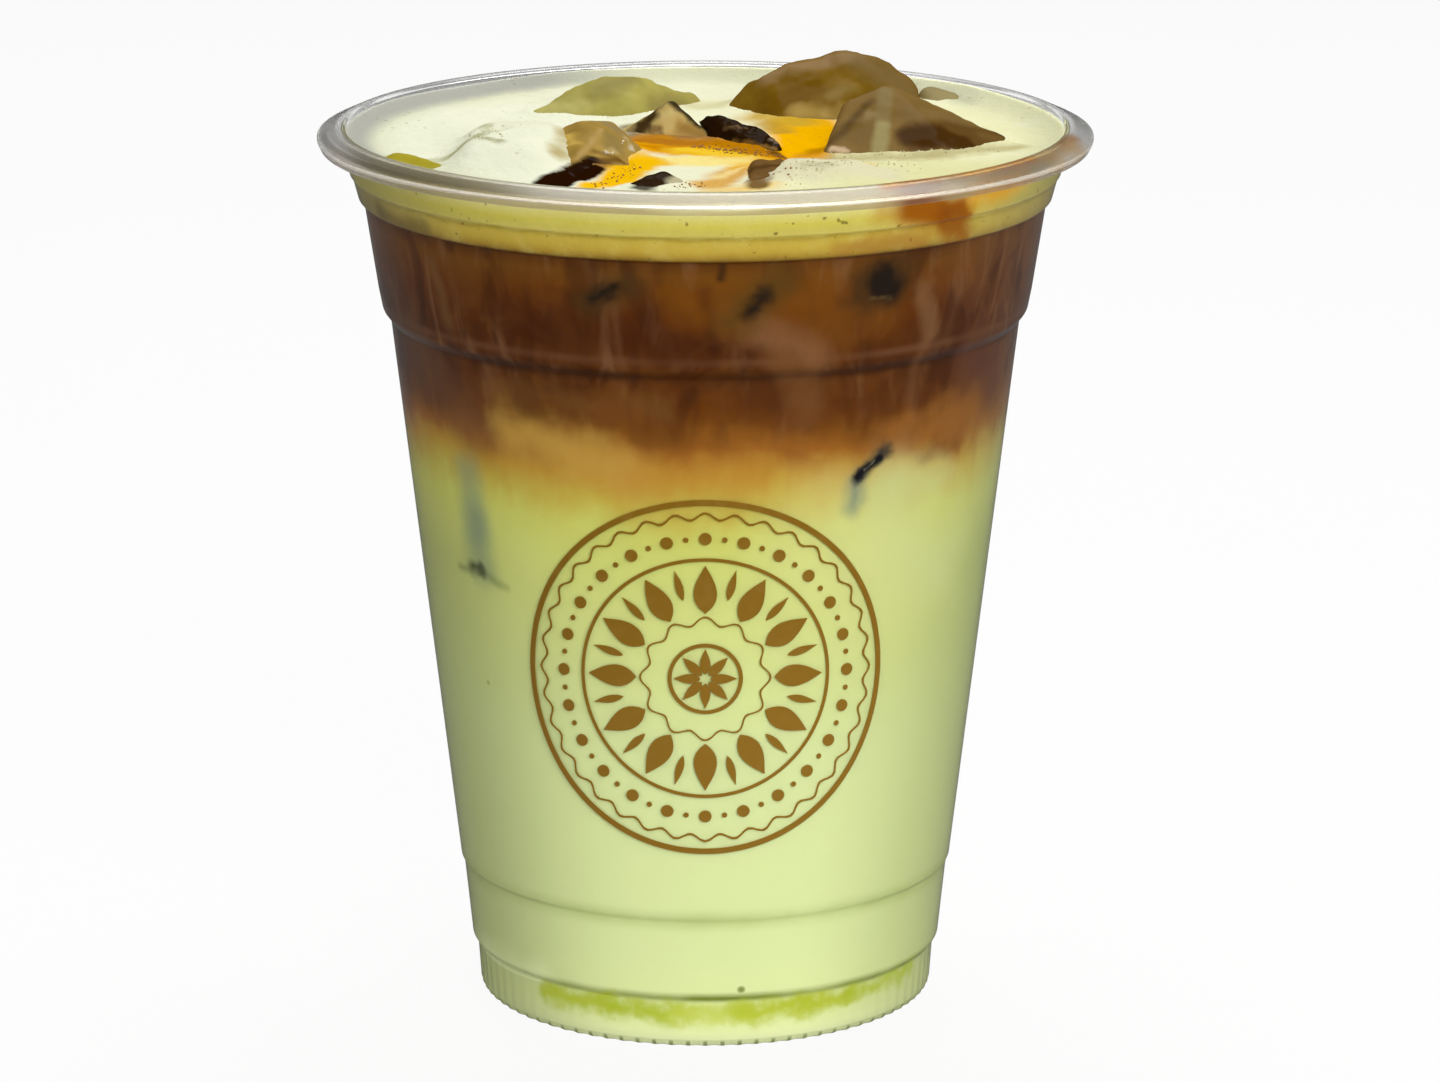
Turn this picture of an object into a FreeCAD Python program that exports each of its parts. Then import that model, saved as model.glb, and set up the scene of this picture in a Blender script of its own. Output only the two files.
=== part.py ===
import FreeCAD, Part

import math
import os

# An iced pistachio latte in its clear, thin-walled disposable cup.
# Millimetres, +Z up. The origin is the centre of the ring that the cup stands on, and -Y is the
# front. The cup is one thermoformed sheet. It holds four layers of drink, and the ice lumps that
# stick out of the foam.

# ---- driving sizes -------------------------------------------------------------------------------

# Cup, measured on the outside of the sheet.
CUP_HEIGHT = 113.0
RIM_RADIUS = 49.0
FOOT_RADIUS = 29.2
SHEET = 0.5

# Foot and base.
FOOT_HEIGHT = 6.3
FOOT_FLARE = 0.45
FOOT_ROUNDING = 1.2
STAND_WIDTH = 2.0
BASE_LIFT = 3.0
BASE_SLOPE = 1.8

# Band above the foot, out to the ridge where the plain wall starts.
NOTCH_STEP = 0.65
NOTCH_RISE = 0.8
BAND_HEIGHT = 10.2
BAND_FLARE = 1.05
RIDGE_STEP = 0.35
RIDGE_RISE = 0.45

# Shoulder and neck, measured down from the top of the rim.
NECK_DROP = 9.3
SHOULDER_DROP = 24.3
SHOULDER_STEP = 1.0
SHOULDER_RISE = 1.3
SHOULDER_BULGE = 1.5
SHOULDER_FLARE = 1.7
NECK_STEP = 0.7
NECK_RISE = 0.5
NECK_LOWER_FLARE = 0.75
NECK_GROOVE_DROP = 6.0
NECK_GROOVE_STEP = 0.33
NECK_UPPER_FLARE = 0.85

# Rolled rim.
RIM_WIDTH = 3.7
RIM_CREST = 1.2
RIM_FALL = 1.1
RIM_LIP = 1.3
RIM_TUCK = 0.4

SMALL_ROUNDING = 0.25
SOFT_ROUNDING = 1.5

# Drink: heights of the layers, and how far each boundary wanders.
FOAM_BELOW_RIM = 2.0
SAUCE_DEPTH = 2.2
SAUCE_WANDER = 0.45
MILK_DEPTH = 70.0
MILK_WANDER = 1.0
MILK_RISE_TO_FRONT = 2.5
MILK_FALL_TO_RIGHT = 2.0
FOAM_WANDER = 0.25

# Ice, with its clearance from the wall. Its lumps, and the heaps of foam beside them, are laid out
# for one radius of the mouth, and grow or shrink with it.
LAYOUT_MOUTH = 45.3
ICE_GAP = 0.8
ICE_TALLEST = 14.0
FALL_ANGLE = 25.0

# Grid pitch of the wavy boundaries.
COARSE_PITCH = 9.0
FINE_PITCH = 2.6

# ---- sizes worked out from them ------------------------------------------------------------------

NECK_LEVEL = CUP_HEIGHT - NECK_DROP
SHOULDER_LEVEL = CUP_HEIGHT - SHOULDER_DROP
GROOVE_LEVEL = CUP_HEIGHT - NECK_GROOVE_DROP
FOAM_LEVEL = CUP_HEIGHT - FOAM_BELOW_RIM
FLOOR_LEVEL = BASE_LIFT + SHEET
SAUCE_LEVEL = FLOOR_LEVEL + SAUCE_DEPTH
MILK_LEVEL = FLOOR_LEVEL + MILK_DEPTH
COFFEE_LEVEL = NECK_LEVEL + NECK_RISE / 2

RIM_INNER = RIM_RADIUS - RIM_WIDTH
LAYOUT_SCALE = RIM_INNER / LAYOUT_MOUTH
NECK_TOP = RIM_INNER + SHEET
GROOVE_OUTER = NECK_TOP - NECK_UPPER_FLARE
GROOVE_INNER = GROOVE_OUTER - NECK_GROOVE_STEP
NECK_FOOT = GROOVE_INNER - NECK_LOWER_FLARE
SHOULDER_TOP = NECK_FOOT - NECK_STEP
SHOULDER_BOTTOM = SHOULDER_TOP - SHOULDER_FLARE - SHOULDER_BULGE

FOOT_TOP_RADIUS = FOOT_RADIUS + FOOT_FLARE
BAND_RADIUS = FOOT_TOP_RADIUS + NOTCH_STEP
BAND_LEVEL = FOOT_HEIGHT + NOTCH_RISE
RIDGE_RADIUS = BAND_RADIUS + BAND_FLARE
RIDGE_LEVEL = BAND_LEVEL + BAND_HEIGHT
STAND_INNER = FOOT_RADIUS - STAND_WIDTH


# ---- helpers -------------------------------------------------------------------------------------

def vector(x, y, z):
    return FreeCAD.Vector(x, y, z)


def wall_corners():
    """Corners of the wall's outer face from foot to neck, as (radius, height, rounding)."""
    return [
        (FOOT_TOP_RADIUS, FOOT_HEIGHT, SMALL_ROUNDING),
        (BAND_RADIUS, BAND_LEVEL, SMALL_ROUNDING),
        (RIDGE_RADIUS, RIDGE_LEVEL, SMALL_ROUNDING),
        (RIDGE_RADIUS + RIDGE_STEP, RIDGE_LEVEL + RIDGE_RISE, SMALL_ROUNDING),
        (SHOULDER_BOTTOM, SHOULDER_LEVEL, SMALL_ROUNDING),
        (SHOULDER_BOTTOM + SHOULDER_STEP, SHOULDER_LEVEL + SHOULDER_RISE, SOFT_ROUNDING),
        (SHOULDER_BOTTOM + SHOULDER_BULGE, SHOULDER_LEVEL + 3 * SHOULDER_RISE, SOFT_ROUNDING),
        (SHOULDER_TOP, NECK_LEVEL, SMALL_ROUNDING),
        (NECK_FOOT, NECK_LEVEL + NECK_RISE, SMALL_ROUNDING),
        (GROOVE_INNER, GROOVE_LEVEL, SMALL_ROUNDING),
        (GROOVE_OUTER, GROOVE_LEVEL + NECK_GROOVE_STEP, SMALL_ROUNDING),
    ]


def inner_corners(gap):
    """Corners of a face that lies gap inside the wall's outer face, from floor to neck."""
    floor_edge = STAND_INNER - BASE_SLOPE + gap / 2
    foot_rounding = max(FOOT_ROUNDING - gap, SMALL_ROUNDING)
    corners = [
        (0, BASE_LIFT + gap, 0),
        (floor_edge, BASE_LIFT + gap, SMALL_ROUNDING),
        (STAND_INNER + gap / 2, gap, SMALL_ROUNDING),
        (FOOT_RADIUS - gap, gap, foot_rounding),
    ]
    for radius, height, rounding in wall_corners():
        corners.append((radius - gap, height, rounding))
    return corners


def rounded_edges(corners):
    """Edges through the corners, each with its own rounding, limited by its two sides."""
    points = [vector(radius, 0, height) for radius, height, rounding in corners]
    edges = []
    start = points[0]
    for index in range(1, len(points) - 1):
        before = points[index - 1] - points[index]
        after = points[index + 1] - points[index]
        half_angle = before.getAngle(after) / 2
        reach = 0.45 * min(before.Length, after.Length)
        setback = min(corners[index][2] / math.tan(half_angle), reach)
        if setback <= 0.01:
            edges.append(Part.makeLine(start, points[index]))
            start = points[index]
            continue
        before.normalize()
        after.normalize()
        first = points[index] + before * setback
        last = points[index] + after * setback
        bisector = (before + after).normalize()
        radius = setback * math.tan(half_angle)
        to_middle = setback / math.cos(half_angle) - radius
        middle = points[index] + bisector * to_middle
        edges.append(Part.makeLine(start, first))
        edges.append(Part.Arc(first, middle, last).toShape())
        start = last
    edges.append(Part.makeLine(start, points[-1]))
    return edges


def turned(corners):
    """Solid of revolution of a closed outline whose first and last corners lie on the axis."""
    edges = rounded_edges(corners)
    first = edges[0].firstVertex().Point
    last = edges[-1].lastVertex().Point
    edges.append(Part.makeLine(last, first))
    face = Part.Face(Part.Wire(edges))
    return face.revolve(vector(0, 0, 0), vector(0, 0, 1), 360)


def below(height_at, pitch):
    """Everything under a wavy sheet whose height is a function of x and y."""
    reach = RIM_RADIUS + pitch
    steps = int(math.ceil(2 * reach / pitch))
    places = [-reach + 2 * reach * step / steps for step in range(steps + 1)]
    rows = [[vector(x, y, height_at(x, y)) for y in places] for x in places]
    surface = Part.BSplineSurface()
    surface.interpolate(rows)
    return surface.toShape().extrude(vector(0, 0, -2 * CUP_HEIGHT))


def mound(x, y, place, half_size, height, spin=0.0):
    """Height of a soft-edged block standing on the foam, at the point x, y of the layout."""
    turn = math.radians(spin)
    across = x - place[0]
    along = y - place[1]
    u = (across * math.cos(turn) + along * math.sin(turn)) / half_size[0]
    v = (along * math.cos(turn) - across * math.sin(turn)) / half_size[1]
    return height / (1 + (u * u + v * v) ** 3)


# ---- cup -----------------------------------------------------------------------------------------

def make_cup():
    """The sheet: standing ring, lifted base, stepped wall and rolled rim, as one turned section."""
    outside = [
        (0, BASE_LIFT, 0),
        (STAND_INNER - BASE_SLOPE, BASE_LIFT, SMALL_ROUNDING),
        (STAND_INNER, 0, SMALL_ROUNDING),
        (FOOT_RADIUS, 0, FOOT_ROUNDING),
    ]
    outside += wall_corners()
    rim = [
        (NECK_TOP, CUP_HEIGHT - SHEET, SMALL_ROUNDING),
        (RIM_INNER + RIM_CREST, CUP_HEIGHT - SHEET, SMALL_ROUNDING),
        (RIM_RADIUS - SHEET, CUP_HEIGHT - RIM_FALL - SHEET, SMALL_ROUNDING),
        (RIM_RADIUS - RIM_TUCK - SHEET, CUP_HEIGHT - RIM_FALL - RIM_LIP, 0),
        (RIM_RADIUS - RIM_TUCK, CUP_HEIGHT - RIM_FALL - RIM_LIP, 0),
        (RIM_RADIUS, CUP_HEIGHT - RIM_FALL - RIM_LIP / 3, SMALL_ROUNDING),
        (RIM_RADIUS, CUP_HEIGHT - RIM_FALL, SMALL_ROUNDING),
        (RIM_INNER + RIM_CREST, CUP_HEIGHT, SMALL_ROUNDING + SHEET),
        (RIM_INNER, CUP_HEIGHT, SMALL_ROUNDING + SHEET),
    ]
    inside = list(reversed(inner_corners(SHEET)))
    return turned(outside + rim + inside)


# ---- drink ---------------------------------------------------------------------------------------

def make_room(gap, top):
    """The space inside the wall up to a given height, kept gap away from the wall's outer face."""
    corners = inner_corners(gap)
    corners.append((NECK_TOP - gap, CUP_HEIGHT - SHEET, 0))
    corners.append((NECK_TOP - gap, top, 0))
    corners.append((0, top, 0))
    return turned(corners)


def sauce_top(x, y):
    wave = math.sin(x / 6.0 + 0.8) * math.cos(y / 7.5)
    return SAUCE_LEVEL + SAUCE_WANDER * wave


def milk_top(x, y):
    slope = -MILK_RISE_TO_FRONT * y / RIM_RADIUS - MILK_FALL_TO_RIGHT * x / RIM_RADIUS
    wave = math.sin(x / 9.0 + 1.3) + 0.6 * math.cos(y / 7.0 - x / 13.0)
    return MILK_LEVEL + slope + MILK_WANDER * wave


def foam_top(x, y):
    """Foam's surface: nearly level at the wall, heaped over ice at the front left and right."""
    u = x / LAYOUT_SCALE
    v = y / LAYOUT_SCALE
    wave = math.sin(u / 7.0) * math.sin(v / 8.0 + 0.6)
    left_heap = mound(u, v, (-24.5, -13.0), (6.5, 14.0), 3.6, spin=4.0)
    right_heap = mound(u, v, (14.5, -25.0), (5.5, 5.5), 1.9)
    return FOAM_LEVEL + FOAM_WANDER * wave + LAYOUT_SCALE * (left_heap + right_heap)


# ---- ice -----------------------------------------------------------------------------------------
# Each lump is an upright block, cut by flat facets. A face is given by three points on it, and a
# fall by the two ends of a crest behind which the ice drops away. Points are (x, y, height above
# the foam), and depth is how far the block reaches below the foam.

ICE_LUMPS = {
    "ice_right": {
        "centre": (24.6, -2.0),
        "size": (27.5, 21.5),
        "spin": 0,
        "depth": 9.5,
        "faces": [
            ((14.3, -11.5, 0), (17.4, -5.0, 5.8), (21.3, -11.8, 0)),
            ((17.4, -5.0, 5.8), (21.0, -2.6, 7.4), (21.0, -12.6, 0)),
            ((21.3, -11.8, 0), (21.5, -2.0, 7.5), (31.0, -12.0, 0)),
            ((31.0, -12.0, 0), (27.0, -2.0, 5.7), (39.0, -1.0, 0)),
        ],
        "falls": [
            ((14.3, -11.5, 0), (17.0, -5.5, 5.3)),
            ((17.6, -5.0, 5.8), (23.0, -2.2, 7.8)),
            ((23.0, -2.0, 7.4), (39.0, -1.0, 0)),
        ],
        "rounding": 1.0,
    },
    "ice_back_right": {
        "centre": (15.0, 21.5),
        "size": (25.0, 23.5),
        "spin": 0,
        "depth": 10.0,
        "faces": [
            ((3.0, 21.0, 0), (9.0, 12.0, 0), (7.1, 19.5, 4.6)),
            ((9.0, 11.5, 0), (11.0, 20.0, 6.4), (18.0, 20.0, 8.0)),
            ((17.5, 10.0, 0), (20.0, 20.0, 7.9), (27.0, 18.0, 0)),
        ],
        "falls": [
            ((2.8, 22.0, 0.2), (5.0, 21.0, 3.4)),
            ((5.0, 21.0, 3.4), (13.0, 20.0, 6.9)),
            ((13.0, 20.0, 6.9), (17.5, 20.0, 8.2)),
            ((17.5, 20.0, 8.2), (21.5, 21.5, 7.2)),
            ((21.5, 21.5, 7.2), (26.0, 25.0, 3.0)),
        ],
        "rounding": 1.5,
    },
    "ice_back_left": {
        "centre": (-12.0, 24.0),
        "size": (23.0, 18.0),
        "spin": 0,
        "depth": 11.0,
        "faces": [
            ((-21.0, 16.5, 0), (-13.0, 20.0, 4.6), (-17.0, 15.0, 0)),
            ((-17.0, 15.0, 0), (-13.0, 20.0, 4.6), (-9.0, 14.8, 0)),
            ((-9.0, 14.8, 0), (-9.5, 20.0, 4.5), (-1.0, 25.0, 0.4)),
        ],
        "falls": [
            ((-23.0, 17.0, 0), (-13.0, 20.0, 4.6)),
            ((-13.0, 20.0, 4.6), (-9.5, 20.0, 4.5)),
            ((-9.5, 20.0, 4.5), (-0.5, 26.0, 0.5)),
        ],
        "rounding": 1.5,
    },
    "ice_left": {
        "centre": (-13.0, -18.5),
        "size": (11.5, 30.0),
        "spin": 3,
        "depth": 11.0,
        "faces": [
            ((-19.4, -32.0, 0), (-8.6, -10.0, 1.0), (-13.0, -8.0, 3.8)),
            ((-16.2, -23.0, 1.0), (-17.8, -12.0, 2.0), (-13.0, -8.0, 3.9)),
        ],
        "falls": [
            ((-18.0, -8.0, 2.2), (-17.5, -9.0, 3.1)),
            ((-17.5, -9.0, 3.1), (-16.2, -9.0, 3.8)),
            ((-16.2, -9.0, 3.9), (-12.0, -8.0, 3.9)),
            ((-12.0, -8.0, 3.9), (-10.5, -8.5, 2.9)),
            ((-10.5, -8.5, 2.9), (-8.3, -10.0, 0.5)),
        ],
        "rounding": 1.5,
    },
    "ice_middle": {
        "centre": (-4.0, 5.5),
        "size": (13.0, 14.0),
        "spin": -8,
        "depth": 10.0,
        "faces": [
            ((-8.0, 1.2, 0), (2.0, -1.2, 0), (-4.1, 1.5, 5.0)),
            ((-9.4, 3.0, 0.5), (-7.0, 1.0, 0.5), (-4.1, 1.5, 5.0)),
        ],
        "falls": [
            ((-8.7, 2.5, 2.2), (-4.1, 1.5, 5.0)),
            ((-4.1, 1.5, 5.0), (1.6, -0.5, 0)),
        ],
        "rounding": 0.8,
    },
    "ice_ridge": {
        "centre": (4.5, -3.0),
        "size": (15.0, 9.0),
        "spin": -38,
        "depth": 10.0,
        "faces": [
            ((0, -0.8, 0), (10.5, -12.2, 0), (1.0, -0.6, 2.0)),
            ((-0.5, -0.6, 2.0), (6.5, -6.2, 1.2), (0.2, 1.2, 2.9)),
        ],
        "falls": [
            ((-1.4, 0.8, 2.2), (0.2, 1.0, 3.0)),
            ((0.2, 1.0, 3.0), (6.5, -3.0, 2.1)),
            ((6.5, -3.0, 2.1), (8.8, -7.0, 1.2)),
            ((8.8, -7.0, 1.2), (10.6, -11.5, 0)),
        ],
        "rounding": 0.3,
    },
    "ice_far_left": {
        "centre": (-35.5, -19.0),
        "size": (10.0, 5.0),
        "spin": -50,
        "depth": 5.0,
        "faces": [
            ((-40.0, -16.0, 0.3), (-33.0, -24.0, 0.3), (-35.0, -17.0, 1.1)),
        ],
        "falls": [
            ((-39.0, -14.0, 0.3), (-36.0, -17.5, 0.9)),
            ((-36.0, -17.5, 0.9), (-32.0, -22.5, 0.2)),
        ],
        "rounding": 0.5,
    },
    "ice_far_right": {
        "centre": (30.5, 27.0),
        "size": (4.5, 5.0),
        "spin": 20,
        "depth": 6.0,
        "faces": [
            ((28.5, 24.5, 0.2), (32.0, 25.5, 0.2), (29.5, 27.0, 1.6)),
        ],
        "falls": [
            ((28.0, 27.0, 0.8), (29.3, 27.0, 1.6)),
            ((29.3, 27.0, 1.6), (32.5, 28.0, 0.2)),
        ],
        "rounding": 0.8,
    },
    "ice_front_left": {
        "centre": (-6.0, -31.0),
        "size": (8.0, 9.0),
        "spin": 10,
        "depth": 7.0,
        "faces": [
            ((-9.0, -35.0, 0), (-6.5, -35.0, 0), (-5.0, -29.5, 1.5)),
            ((-6.5, -35.0, 0), (-3.0, -32.0, 0), (-5.0, -29.5, 1.5)),
        ],
        "falls": [
            ((-9.0, -32.5, 0.6), (-5.0, -29.5, 1.5)),
            ((-5.0, -29.5, 1.5), (-2.6, -30.5, 0)),
        ],
        "rounding": 1.0,
    },
    "ice_front_right": {
        "centre": (8.0, -27.0),
        "size": (7.0, 14.0),
        "spin": -8,
        "depth": 8.0,
        "faces": [
            ((5.0, -26.0, 0), (5.2, -34.0, 0), (6.0, -24.0, 1.6)),
            ((5.2, -34.0, 0), (7.5, -34.0, 0), (9.5, -22.0, 1.6)),
        ],
        "falls": [
            ((5.0, -22.0, 0.6), (6.2, -22.5, 1.7)),
            ((6.2, -22.5, 1.7), (9.3, -22.0, 1.6)),
            ((9.3, -22.0, 1.6), (10.6, -22.0, 0.6)),
        ],
        "rounding": 0.8,
    },
}


FROZEN_PAIRS = [("ice_ridge", "ice_middle"), ("ice_front_left", "ice_left")]


def on_foam(point):
    """A point of the layout, in the cup's own frame."""
    x, y, height = point
    return vector(x * LAYOUT_SCALE, y * LAYOUT_SCALE, FOAM_LEVEL + height * LAYOUT_SCALE)


def cut_beyond(solid, point, normal, inside):
    """Cuts away what lies beyond a plane, on the side that doesn't hold the inside point."""
    outward = vector(normal.x, normal.y, normal.z).normalize()
    if outward.dot(inside - point) > 0:
        outward = -outward
    reach = 2 * RIM_RADIUS
    slab = Part.makeBox(2 * reach, 2 * reach, reach, vector(-reach, -reach, 0))
    turn = FreeCAD.Placement(point, FreeCAD.Rotation(vector(0, 0, 1), outward))
    slab.transformShape(turn.toMatrix())
    return solid.cut(slab)


def make_lump(lump):
    """One ice lump: an upright block with its facets and its melted edges."""
    length, width = [size * LAYOUT_SCALE for size in lump["size"]]
    height = (lump["depth"] + ICE_TALLEST) * LAYOUT_SCALE
    x, y = lump["centre"]
    block = Part.makeBox(length, width, height, vector(-length / 2, -width / 2, 0))
    block.rotate(vector(0, 0, 0), vector(0, 0, 1), lump["spin"])
    block.translate(on_foam((x, y, -lump["depth"])))
    inside = on_foam((x, y, -lump["depth"] / 4))
    for face in lump["faces"]:
        a, b, c = [on_foam(point) for point in face]
        block = cut_beyond(block, a, (b - a).cross(c - a), inside)
    drop = math.radians(FALL_ANGLE)
    backward = vector(0, math.cos(drop), -math.sin(drop))
    for crest in lump["falls"]:
        a, b = [on_foam(point) for point in crest]
        block = cut_beyond(block, a, (b - a).cross(backward), inside)
    solid = block.Solids[0]
    return solid.makeFillet(lump["rounding"] * LAYOUT_SCALE, solid.Edges)


def make_ice():
    """All the lumps, clear of the wall, some frozen onto the side of a larger one."""
    room = make_room(SHEET + ICE_GAP, CUP_HEIGHT + ICE_TALLEST * LAYOUT_SCALE)
    ice = {name: make_lump(lump).common(room) for name, lump in ICE_LUMPS.items()}
    for small, large in FROZEN_PAIRS:
        ice[small] = ice[small].cut(ice[large])
    return ice


def make_drink(ice):
    """The four layers, which share their boundaries and are cut round the ice."""
    room = make_room(SHEET, CUP_HEIGHT)
    under_sauce = below(sauce_top, COARSE_PITCH)
    under_milk = below(milk_top, COARSE_PITCH)
    under_foam = below(foam_top, FINE_PITCH)
    reach = 2 * RIM_RADIUS
    under_coffee = Part.makeBox(2 * reach, 2 * reach, COFFEE_LEVEL, vector(-reach, -reach, 0))
    drink = {
        "pistachio_sauce": room.common(under_sauce),
        "pistachio_milk": room.common(under_milk).cut(under_sauce),
        "coffee": room.common(under_coffee).cut(under_milk),
        "milk_foam": room.common(under_foam).cut(under_coffee),
    }
    for name in ("coffee", "milk_foam"):
        for lump in ice.values():
            drink[name] = drink[name].cut(lump)
    return drink


def write(name, shape):
    """One STEP file for one solid."""
    solid = shape.Solids[0]
    solid.exportStep("parts/" + name + ".step")
    print(name, len(shape.Solids), "solid", solid.isValid(), round(solid.Volume / 1000, 2), "cm3")


def main():
    os.makedirs("parts", exist_ok=True)
    ice = make_ice()
    write("cup", make_cup())
    for name, shape in make_drink(ice).items():
        write(name, shape)
    for name, shape in ice.items():
        write(name, shape)


main()
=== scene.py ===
# %% [markdown]
# # Iced pistachio latte in a clear cup
# This notebook dresses the plain solids of an iced latte until they look like the real drink. The
# cup is one thin formed sheet of clear plastic. Inside it lie settled pistachio paste, pale green
# pistachio milk, coffee and foam, with lumps of ice sticking out at the top.
#
# The frame holds the solids at their real size. Every new piece is made in place around them, so
# nothing has to be fitted afterwards.

# %% Load the frame
import math
import random

import bmesh
import bpy
import numpy as np
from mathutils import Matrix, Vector, noise
from mathutils.bvhtree import BVHTree


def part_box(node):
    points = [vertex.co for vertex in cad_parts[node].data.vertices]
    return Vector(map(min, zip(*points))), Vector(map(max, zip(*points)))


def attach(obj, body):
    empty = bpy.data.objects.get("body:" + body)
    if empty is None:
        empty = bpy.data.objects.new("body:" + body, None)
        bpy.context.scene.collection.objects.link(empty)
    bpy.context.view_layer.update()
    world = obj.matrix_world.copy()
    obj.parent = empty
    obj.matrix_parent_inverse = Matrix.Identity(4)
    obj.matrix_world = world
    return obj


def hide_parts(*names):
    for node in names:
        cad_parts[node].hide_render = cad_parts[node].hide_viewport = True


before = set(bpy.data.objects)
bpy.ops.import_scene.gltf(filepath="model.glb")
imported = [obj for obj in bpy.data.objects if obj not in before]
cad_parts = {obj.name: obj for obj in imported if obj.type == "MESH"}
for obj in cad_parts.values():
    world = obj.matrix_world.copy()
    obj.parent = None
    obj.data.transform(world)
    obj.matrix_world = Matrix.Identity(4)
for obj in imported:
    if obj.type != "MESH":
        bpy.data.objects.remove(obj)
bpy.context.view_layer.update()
print("nodes:", ", ".join(sorted(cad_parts)))

# %% [markdown]
# Lengths below are written in millimetres, because a cup is easier to think about that way, and MM
# turns them into Blender's metres. The cup's overall sizes and the joint of coffee and foam are read
# from the solids. Angles round the cup are in degrees, with 0 at the front and 90 at the right.

# %% Overall sizes
MM = 0.001
CUP_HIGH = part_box("cup")[1]
CUP_HEIGHT = CUP_HIGH[2] / MM
RIM_RADIUS = CUP_HIGH[0] / MM
FOOT_RADIUS = 29.2
SHEET = 0.5
FOAM_BELOW_RIM = 2.0
FOAM_LEVEL = CUP_HEIGHT - FOAM_BELOW_RIM
COFFEE_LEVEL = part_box("milk_foam")[0][2] / MM
FLOOR_LEVEL = 3.5
GRIP = 0.2
print(f"cup {2 * RIM_RADIUS:.1f} mm across the rim, {CUP_HEIGHT:.1f} mm tall")

# %% [markdown]
# ## The section of the cup
# A formed cup is turned, so its whole shape is one outline of radius and height. Each corner carries
# its own rounding, because plastic sheet never folds sharply. The corners are the same as on the
# solid, apart from the lip, which stays a hair inside it, so the dressed cup keeps its size.

# %% Levels and radii of the section
SMALL, SOFT = 0.25, 1.5
NECK_DROP = 9.3
SHOULDER_DROP = 24.3
RIM_WIDTH = 3.7
LIP_INSET = 0.03
NECK_LEVEL = CUP_HEIGHT - NECK_DROP
SHOULDER_LEVEL = CUP_HEIGHT - SHOULDER_DROP
RIM_INNER = RIM_RADIUS - RIM_WIDTH
NECK_TOP = RIM_INNER + SHEET
LIP_RADIUS = RIM_RADIUS - LIP_INSET
FOOT_HEIGHT = 6.3
RIDGE_LEVEL = 17.3
print(f"neck from {NECK_LEVEL:.1f} mm, shoulder at {SHOULDER_LEVEL:.1f} mm")

# %% Corners of the wall
WALL = [
    (FOOT_RADIUS + 0.45, FOOT_HEIGHT, SMALL),
    (FOOT_RADIUS + 1.1, FOOT_HEIGHT + 0.8, SMALL),
    (FOOT_RADIUS + 2.15, RIDGE_LEVEL, SMALL),
    (FOOT_RADIUS + 2.5, RIDGE_LEVEL + 0.45, SMALL),
    (NECK_TOP - 5.83, SHOULDER_LEVEL, SMALL),
    (NECK_TOP - 4.83, SHOULDER_LEVEL + 1.3, SOFT),
    (NECK_TOP - 4.33, SHOULDER_LEVEL + 3.9, SOFT),
    (NECK_TOP - 2.63, NECK_LEVEL, SMALL),
    (NECK_TOP - 1.93, NECK_LEVEL + 0.5, SMALL),
    (NECK_TOP - 1.18, CUP_HEIGHT - 6.0, SMALL),
    (NECK_TOP - 0.85, CUP_HEIGHT - 5.67, SMALL),
]
print("corners in the wall:", len(WALL))


# %% Rounding the corners
def rounded(corners, steps=4):
    """Points along the corners' outline, each corner turned into a small smooth bend."""
    line = [corners[0][:2]]
    for before, corner, after in zip(corners, corners[1:], corners[2:]):
        here = Vector(corner[:2])
        back = Vector(before[:2]) - here
        ahead = Vector(after[:2]) - here
        cut = min(corner[2] / math.tan(back.angle(ahead) / 2), 0.45 * back.length, 0.45 * ahead.length)
        start = here + back.normalized() * cut
        end = here + ahead.normalized() * cut
        for step in range(steps + 1):
            t = step / steps
            point = start * (1 - t) ** 2 + here * 2 * t * (1 - t) + end * t * t
            line.append((point.x, point.y))
    line.append(corners[-1][:2])
    return line


# %% Where the wall is
wall_line = rounded([(FOOT_RADIUS, 0, 0), *WALL, (NECK_TOP, CUP_HEIGHT - SHEET, 0)])
wall_heights = [height for radius, height in wall_line]
wall_radii = [radius for radius, height in wall_line]


def wall_radius(height):
    """Radius of the cup's outer face at a height."""
    return float(np.interp(height, wall_heights, wall_radii))


def on_wall(degrees, height, out=0.0):
    """A place on the outer face, in millimetres, moved outwards by out."""
    angle = math.radians(degrees)
    radius = wall_radius(height) + out
    return Vector((radius * math.sin(angle), -radius * math.cos(angle), height))


print(f"wall from {wall_radius(0):.1f} to {wall_radius(CUP_HEIGHT):.1f} mm radius")

# %% [markdown]
# ## Turning an outline
# Blender could turn an outline with a Screw modifier. Building the grid of points by hand is as short
# and allows more: a bend function may move each point, which is how the foot gets its notches.


# %% Mesh helpers
SHARP_ANGLE = math.radians(50)


def make_piece(name, places, faces, smooth=True):
    """A closed mesh object from places in millimetres, with doubled points merged."""
    mesh = bpy.data.meshes.new(name)
    mesh.from_pydata([Vector(place) * MM for place in places], [], faces)
    shape = bmesh.new()
    shape.from_mesh(mesh)
    bmesh.ops.remove_doubles(shape, verts=shape.verts, dist=0.002 * MM)
    bmesh.ops.dissolve_degenerate(shape, edges=shape.edges, dist=0.001 * MM)
    bmesh.ops.recalc_face_normals(shape, faces=shape.faces)
    for face in shape.faces:
        face.smooth = smooth
    shape.to_mesh(mesh)
    shape.free()
    mesh.set_sharp_from_angle(angle=SHARP_ANGLE)
    piece = bpy.data.objects.new(name, mesh)
    bpy.context.scene.collection.objects.link(piece)
    print(f"{name}: {len(mesh.polygons)} faces")
    return piece


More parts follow.
